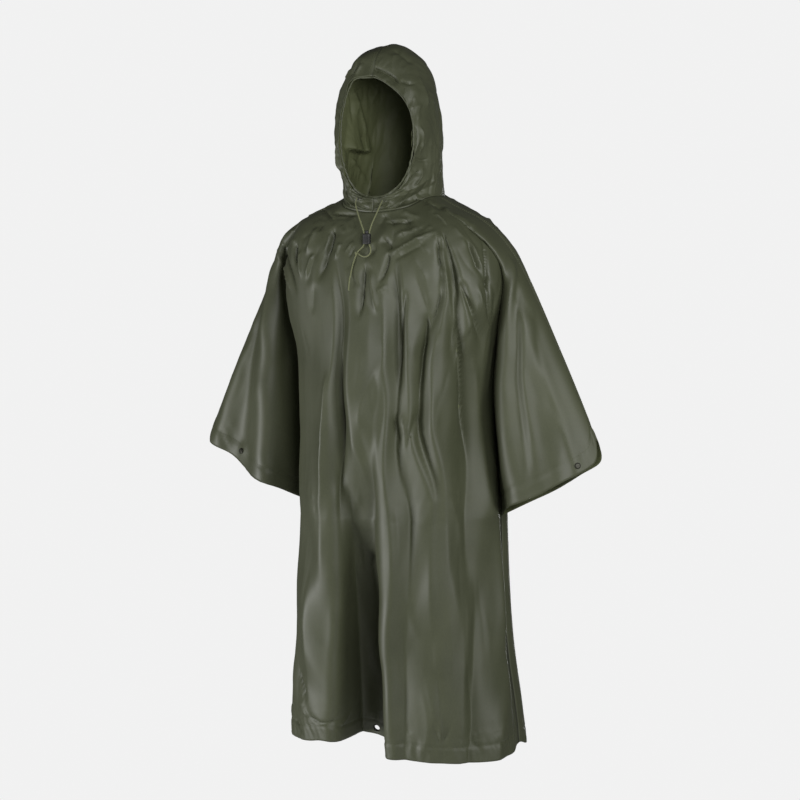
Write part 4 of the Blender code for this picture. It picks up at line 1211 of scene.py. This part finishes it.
def hood_half(name, hand, node, surfaces, creases):
    """One half of the hood, whose lower edge goes under the panels' neck edge."""
    shares = np.linspace(HOOD_START, 1, HOOD_ROWS + 1)
    turns = np.linspace(0, 2, HOOD_COLUMNS + 1)
    points = np.array([hood_points(share, turns, hand) for share in shares])
    points[..., 0] = hand * (points[..., 0] + SEAM / 4)
    tuck = late(shares, TUCK_START)[:, None]
    points[..., 2] -= (NECK_SEAM + TUCK_UNDER) * tuck
    net = Net(shares, turns, points, -hand)
    net.push(WALL * (1 - tuck) * np.ones(points.shape[:2]))
    height = add_creases(net, creases, True)
    if hand < 0:
        height += add_creases(net, HOOD_INNER_CREASES, True, True)
    height += scattered(net, HOOD_SCATTER)
    for waves in HOOD_WAVES:
        height += crinkle(net, hand, *waves)
    height += crinkle(net, hand, *FACE_GATHERS) * bell(net.down, FACE_GATHERS_LONG)
    seam = ease(turns / HOOD_SEAM_FADE) * ease((2 - turns) / HOOD_SEAM_FADE)
    above_neck = ease((HOOD_CALM - shares) / HOOD_CALM_LONG)[:, None]
    net.push(height * seam * (1 - tuck) * above_neck)
    return cloth_piece(name, net, node, surfaces, hand > 0), net


def channel(surface):
    """The gathered channel that carries the drawcord round the face opening."""
    turns = 4 * np.arange(CHANNEL_STEPS) / CHANNEL_STEPS
    edges = face_ring(0.0, turns)
    along = unit(edges - face_ring(CHANNEL_LOOK, turns))
    around = np.roll(edges, -1, axis=0) - np.roll(edges, 1, axis=0)
    out = unit(np.cross(along, around))
    lengths = np.cumsum(np.linalg.norm(around, axis=1)) / 2
    moves = {}
    for name, (long, seed) in CHANNEL_NOISE.items():
        waves = [noise.noise((length / long, seed, 0.0)) for length in lengths]
        moves[name] = np.array(waves)[:, None]
    centre = edges + along * (CHANNEL_INSET + CHANNEL_SWAY * moves["sway"])
    centre = centre + out * (WALL + CHANNEL_PINCH * moves["pinch"])
    thick = CHANNEL_THICK / 2 * (1 + CHANNEL_SWELL * moves["pinch"])
    rows = []
    for side in range(CHANNEL_SIDES + 1):
        angle = 2 * math.pi * side / CHANNEL_SIDES
        point = centre + along * math.cos(angle) * CHANNEL_WIDE / 2
        rows.append(point + out * (math.sin(angle) * thick))
    points = np.array(rows)
    points = np.concatenate([points, points[:, :1]], axis=1)
    net = Net(np.arange(CHANNEL_SIDES + 1), np.arange(CHANNEL_STEPS + 1), points, 1)
    made = net_object("hood_channel", net, (surface,), False)
    work = bmesh.new()
    work.from_mesh(made.data)
    bmesh.ops.remove_doubles(work, verts=work.verts, dist=MERGE)
    bmesh.ops.recalc_face_normals(work, faces=work.faces)
    work.to_mesh(made.data)
    work.free()
    return worn(made, "cloth", "hood_tunnel")


def cut_hole(cloth, net, station, run):
    """A round hole through a panel, where the grommet sits."""
    place, normal = net.at(station, run)
    bpy.ops.mesh.primitive_cylinder_add(
        vertices=HOLE_SIDES, radius=GROMMET_HOLE, depth=HOLE_DEEP, location=place,
    )
    cutter = bpy.context.object
    cutter.rotation_euler = Vector(normal).to_track_quat("Z", "Y").to_euler()
    hole = cloth.modifiers.new("hole", "BOOLEAN")
    hole.operation = "DIFFERENCE"
    hole.solver = "EXACT"
    hole.object = cutter
    bpy.context.view_layer.objects.active = cloth
    for modifier in list(cloth.modifiers):
        bpy.ops.object.modifier_apply(modifier=modifier.name)
    bpy.data.objects.remove(cutter)


def smooth_route(points, count):
    route = np.array(points, float)
    knots = run_lengths(route)
    at = np.linspace(0, knots[-1], count)
    tables = [np.stack([knots, values], axis=1) for values in route.T]
    return np.stack([through(table, "value", ("at", "value"), at) for table in tables], axis=1)


def cord_curve(name, line, surface, rounds, closed=False):
    """A curve of the cord's thickness through the points of a line."""
    curve = bpy.data.curves.new(name, "CURVE")
    curve.dimensions = "3D"
    curve.bevel_depth = CORD / 2
    curve.bevel_resolution = rounds
    curve.use_fill_caps = not closed
    spline = curve.splines.new("POLY")
    spline.points.add(len(line) - 1)
    spline.use_cyclic_u = closed
    for point, place in zip(spline.points, line):
        point.co = (*place, 1.0)
    curve.materials.append(surface)
    return add_object(name, curve)


def drawcord(name, route, nodes, surface):
    line = smooth_route(route, CORD_POINTS)
    made = worn(cord_curve(name, line, surface, CORD_BEVEL), "cord", *nodes)


def knot(surface):
    """An overhand knot of the drawcord, as a trefoil."""
    turn = np.linspace(0, 2 * math.pi, KNOT_POINTS + 1)[:-1]
    x = np.sin(turn) + 2 * np.sin(2 * turn)
    y = np.cos(turn) - 2 * np.cos(2 * turn)
    z = -KNOT_DEEP * np.sin(3 * turn)
    line = np.stack([x, z, y], axis=1) * KNOT_SCALE + KNOT_PLACE
    made = cord_curve("drawcord_knot", line, surface, KNOT_BEVEL, True)
    return worn(made, "cord", "cord_knot")


def lock(surface):
    """The cord lock: a moulded barrel with grip ribs and its push button."""
    angle = 2 * math.pi * np.arange(LOCK_SIDES) / LOCK_SIDES
    across, deep = np.cos(angle), np.sin(angle)
    rows = []
    for row in LOCK_PROFILE:
        size = named(LOCK_COLUMNS, row)
        x = np.sign(across) * np.abs(across) ** size.square * size.width / 2
        y = np.sign(deep) * np.abs(deep) ** size.square * size.depth / 2
        rows.append(np.stack([x, y, x * 0 + size.height], axis=1) + LOCK_PLACE)
    points = np.concatenate(rows)
    low = np.arange(len(points) - LOCK_SIDES).reshape(-1, LOCK_SIDES)
    high = low + LOCK_SIDES
    sides = np.stack([low, np.roll(low, -1, axis=1), np.roll(high, -1, axis=1), high], axis=-1)
    faces = sides.reshape(-1, 4).tolist() + [low[0, ::-1].tolist(), high[-1].tolist()]
    made = add_mesh("cord_lock_body", points.tolist(), faces, surface)
    soft = made.modifiers.new("soft", "BEVEL")
    soft.width = LOCK_SOFT
    soft.segments = 2
    soft.limit_method = "ANGLE"
    return worn(made, "lock", "cord_lock", "cord_lock_button")


def floor():
    """A pale round of floor below the hem."""
    bpy.ops.mesh.primitive_cylinder_add(
        vertices=FLOOR_SIDES, radius=FLOOR_RADIUS, depth=FLOOR_THICK,
        location=(0, 0, FLOOR_HEIGHT),
    )
    made = bpy.context.object
    made.name = "floor"
    surface, tree, shader = new_material("floor_paper")
    grain = add_node(tree, "ShaderNodeTexNoise", {"Scale": 60.0})
    two_tones(tree, grain, "Fac", shader, (0.80, 0.80, 0.80), (0.84, 0.84, 0.84))
    shader.inputs["Roughness"].default_value = 0.8
    made.data.materials.append(surface)


def studio():
    """An even pale backdrop and soft lights."""
    scene = bpy.context.scene
    scene.view_settings.view_transform = "Standard"
    world = bpy.data.worlds.new("studio")
    scene.world = world
    world.use_nodes = True
    tree = world.node_tree
    tree.nodes.clear()
    out = add_node(tree, "ShaderNodeOutputWorld", {})
    mix = add_node(tree, "ShaderNodeMixShader", {})
    rays = add_node(tree, "ShaderNodeLightPath", {})
    link(tree, rays, "Is Camera Ray", mix, 0)
    for socket, grey, strength in ((1, 1, ROOM_LIGHT), (2, BACKDROP, 1.0)):
        values = {"Color": (grey, grey, grey, 1), "Strength": strength}
        link(tree, add_node(tree, "ShaderNodeBackground", values), 0, mix, socket)
    link(tree, mix, 0, out, 0)
    for row in LIGHTS:
        size = named(LIGHT_COLUMNS, row)
        lamp = bpy.data.lights.new(size.name, "AREA")
        lamp.shape = "RECTANGLE"
        lamp.size = size.wide
        lamp.size_y = size.tall
        lamp.energy = size.power
        aim = (0, 0, size.aim)
        add_aimed(size.name, lamp, size.turn, size.rise, size.distance, aim)


studio()
outside = nylon(
    "nylon_outside", dark=(0.044, 0.049, 0.026), light=(0.061, 0.067, 0.037),
    roughness=0.54, specular=0.44,
)
# The inside's lighter, more saturated tone is partly the coated side's own colour and partly
# painted light, standing in for light that shines through the thin cloth into the hood.
inside = nylon(
    "nylon_inside_painted_light", dark=(0.082, 0.092, 0.042), light=(0.100, 0.112, 0.054),
    roughness=0.60, specular=0.30,
)
CLOTH = (outside, inside)
cord_surface = braid("braided_cord", dark=(0.10, 0.11, 0.045), light=(0.20, 0.21, 0.100))
plastic = rubbed(
    "moulded_plastic", dark=(0.006, 0.006, 0.006), light=(0.012, 0.012, 0.011),
    metallic=0.0, roughness=0.55,
)
metal = rubbed(
    "lacquered_metal", dark=(0.020, 0.021, 0.016), light=(0.055, 0.054, 0.042),
    metallic=0.75, roughness=0.42,
)
thread = rubbed(
    "sewing_thread", dark=(0.050, 0.056, 0.026), light=(0.085, 0.092, 0.048),
    metallic=0.0, roughness=0.70,
)

right_nodes = ("cord_right", "cord_lead", "cord_tail")
drawcord("drawcord_right", CORD_RIGHT, right_nodes, cord_surface)
drawcord("drawcord_left", CORD_LEFT, ("cord_left", "cord_loop"), cord_surface)
knot(cord_surface)
lock(plastic)
for node in METAL_NODES:
    repaint(node, metal)

front, front_net = panel("front_cloth", -1, "front_panel", CLOTH)
back, back_net = panel("back_cloth", 1, "back_panel", CLOTH)
hood_left, hood_left_net = hood_half("hood_left_cloth", 1, "hood_left", CLOTH, HOOD_LEFT_CREASES)
hood_right, hood_right_net = hood_half(
    "hood_right_cloth", -1, "hood_right", CLOTH, HOOD_RIGHT_CREASES,
)
hood_channel = channel(outside)
for side, station, run in GROMMETS:
    cut_hole(front if side < 0 else back, front_net if side < 0 else back_net, station, run)

lines = {name: np.linspace(*ends) for name, ends in STITCH_LINES.items()}
seams = []
for net in (front_net, back_net):
    seams.append((net, lines["hem"], net.above(lines["hem"], HEM_BAND)))
    for hand in (-1, 1):
        end = hand * lines["sleeve_end"]
        seams.append((net, end, net.above(end, HEM_BAND)))
        for edge, line in ((2, lines["above_underarm"]), (1, lines["below_underarm"])):
            seams.append((net, net.beside(line, hand * edge, -hand * SEAM_INSET), line))
panel_threads = stitches("panel_stitching", seams, thread)
seams = []
over, face = lines["over_hood"], lines["round_face"]
for net in (hood_left_net, hood_right_net):
    seams.append((net, net.beside(over, 2, -SEAM_INSET), over))
    seams.append((net, net.beside(over, 0, SEAM_INSET), over))
    seams.append((net, face, net.below(face, FACE_BAND)))
hood_threads = stitches("hood_stitching", seams, thread)

floor()
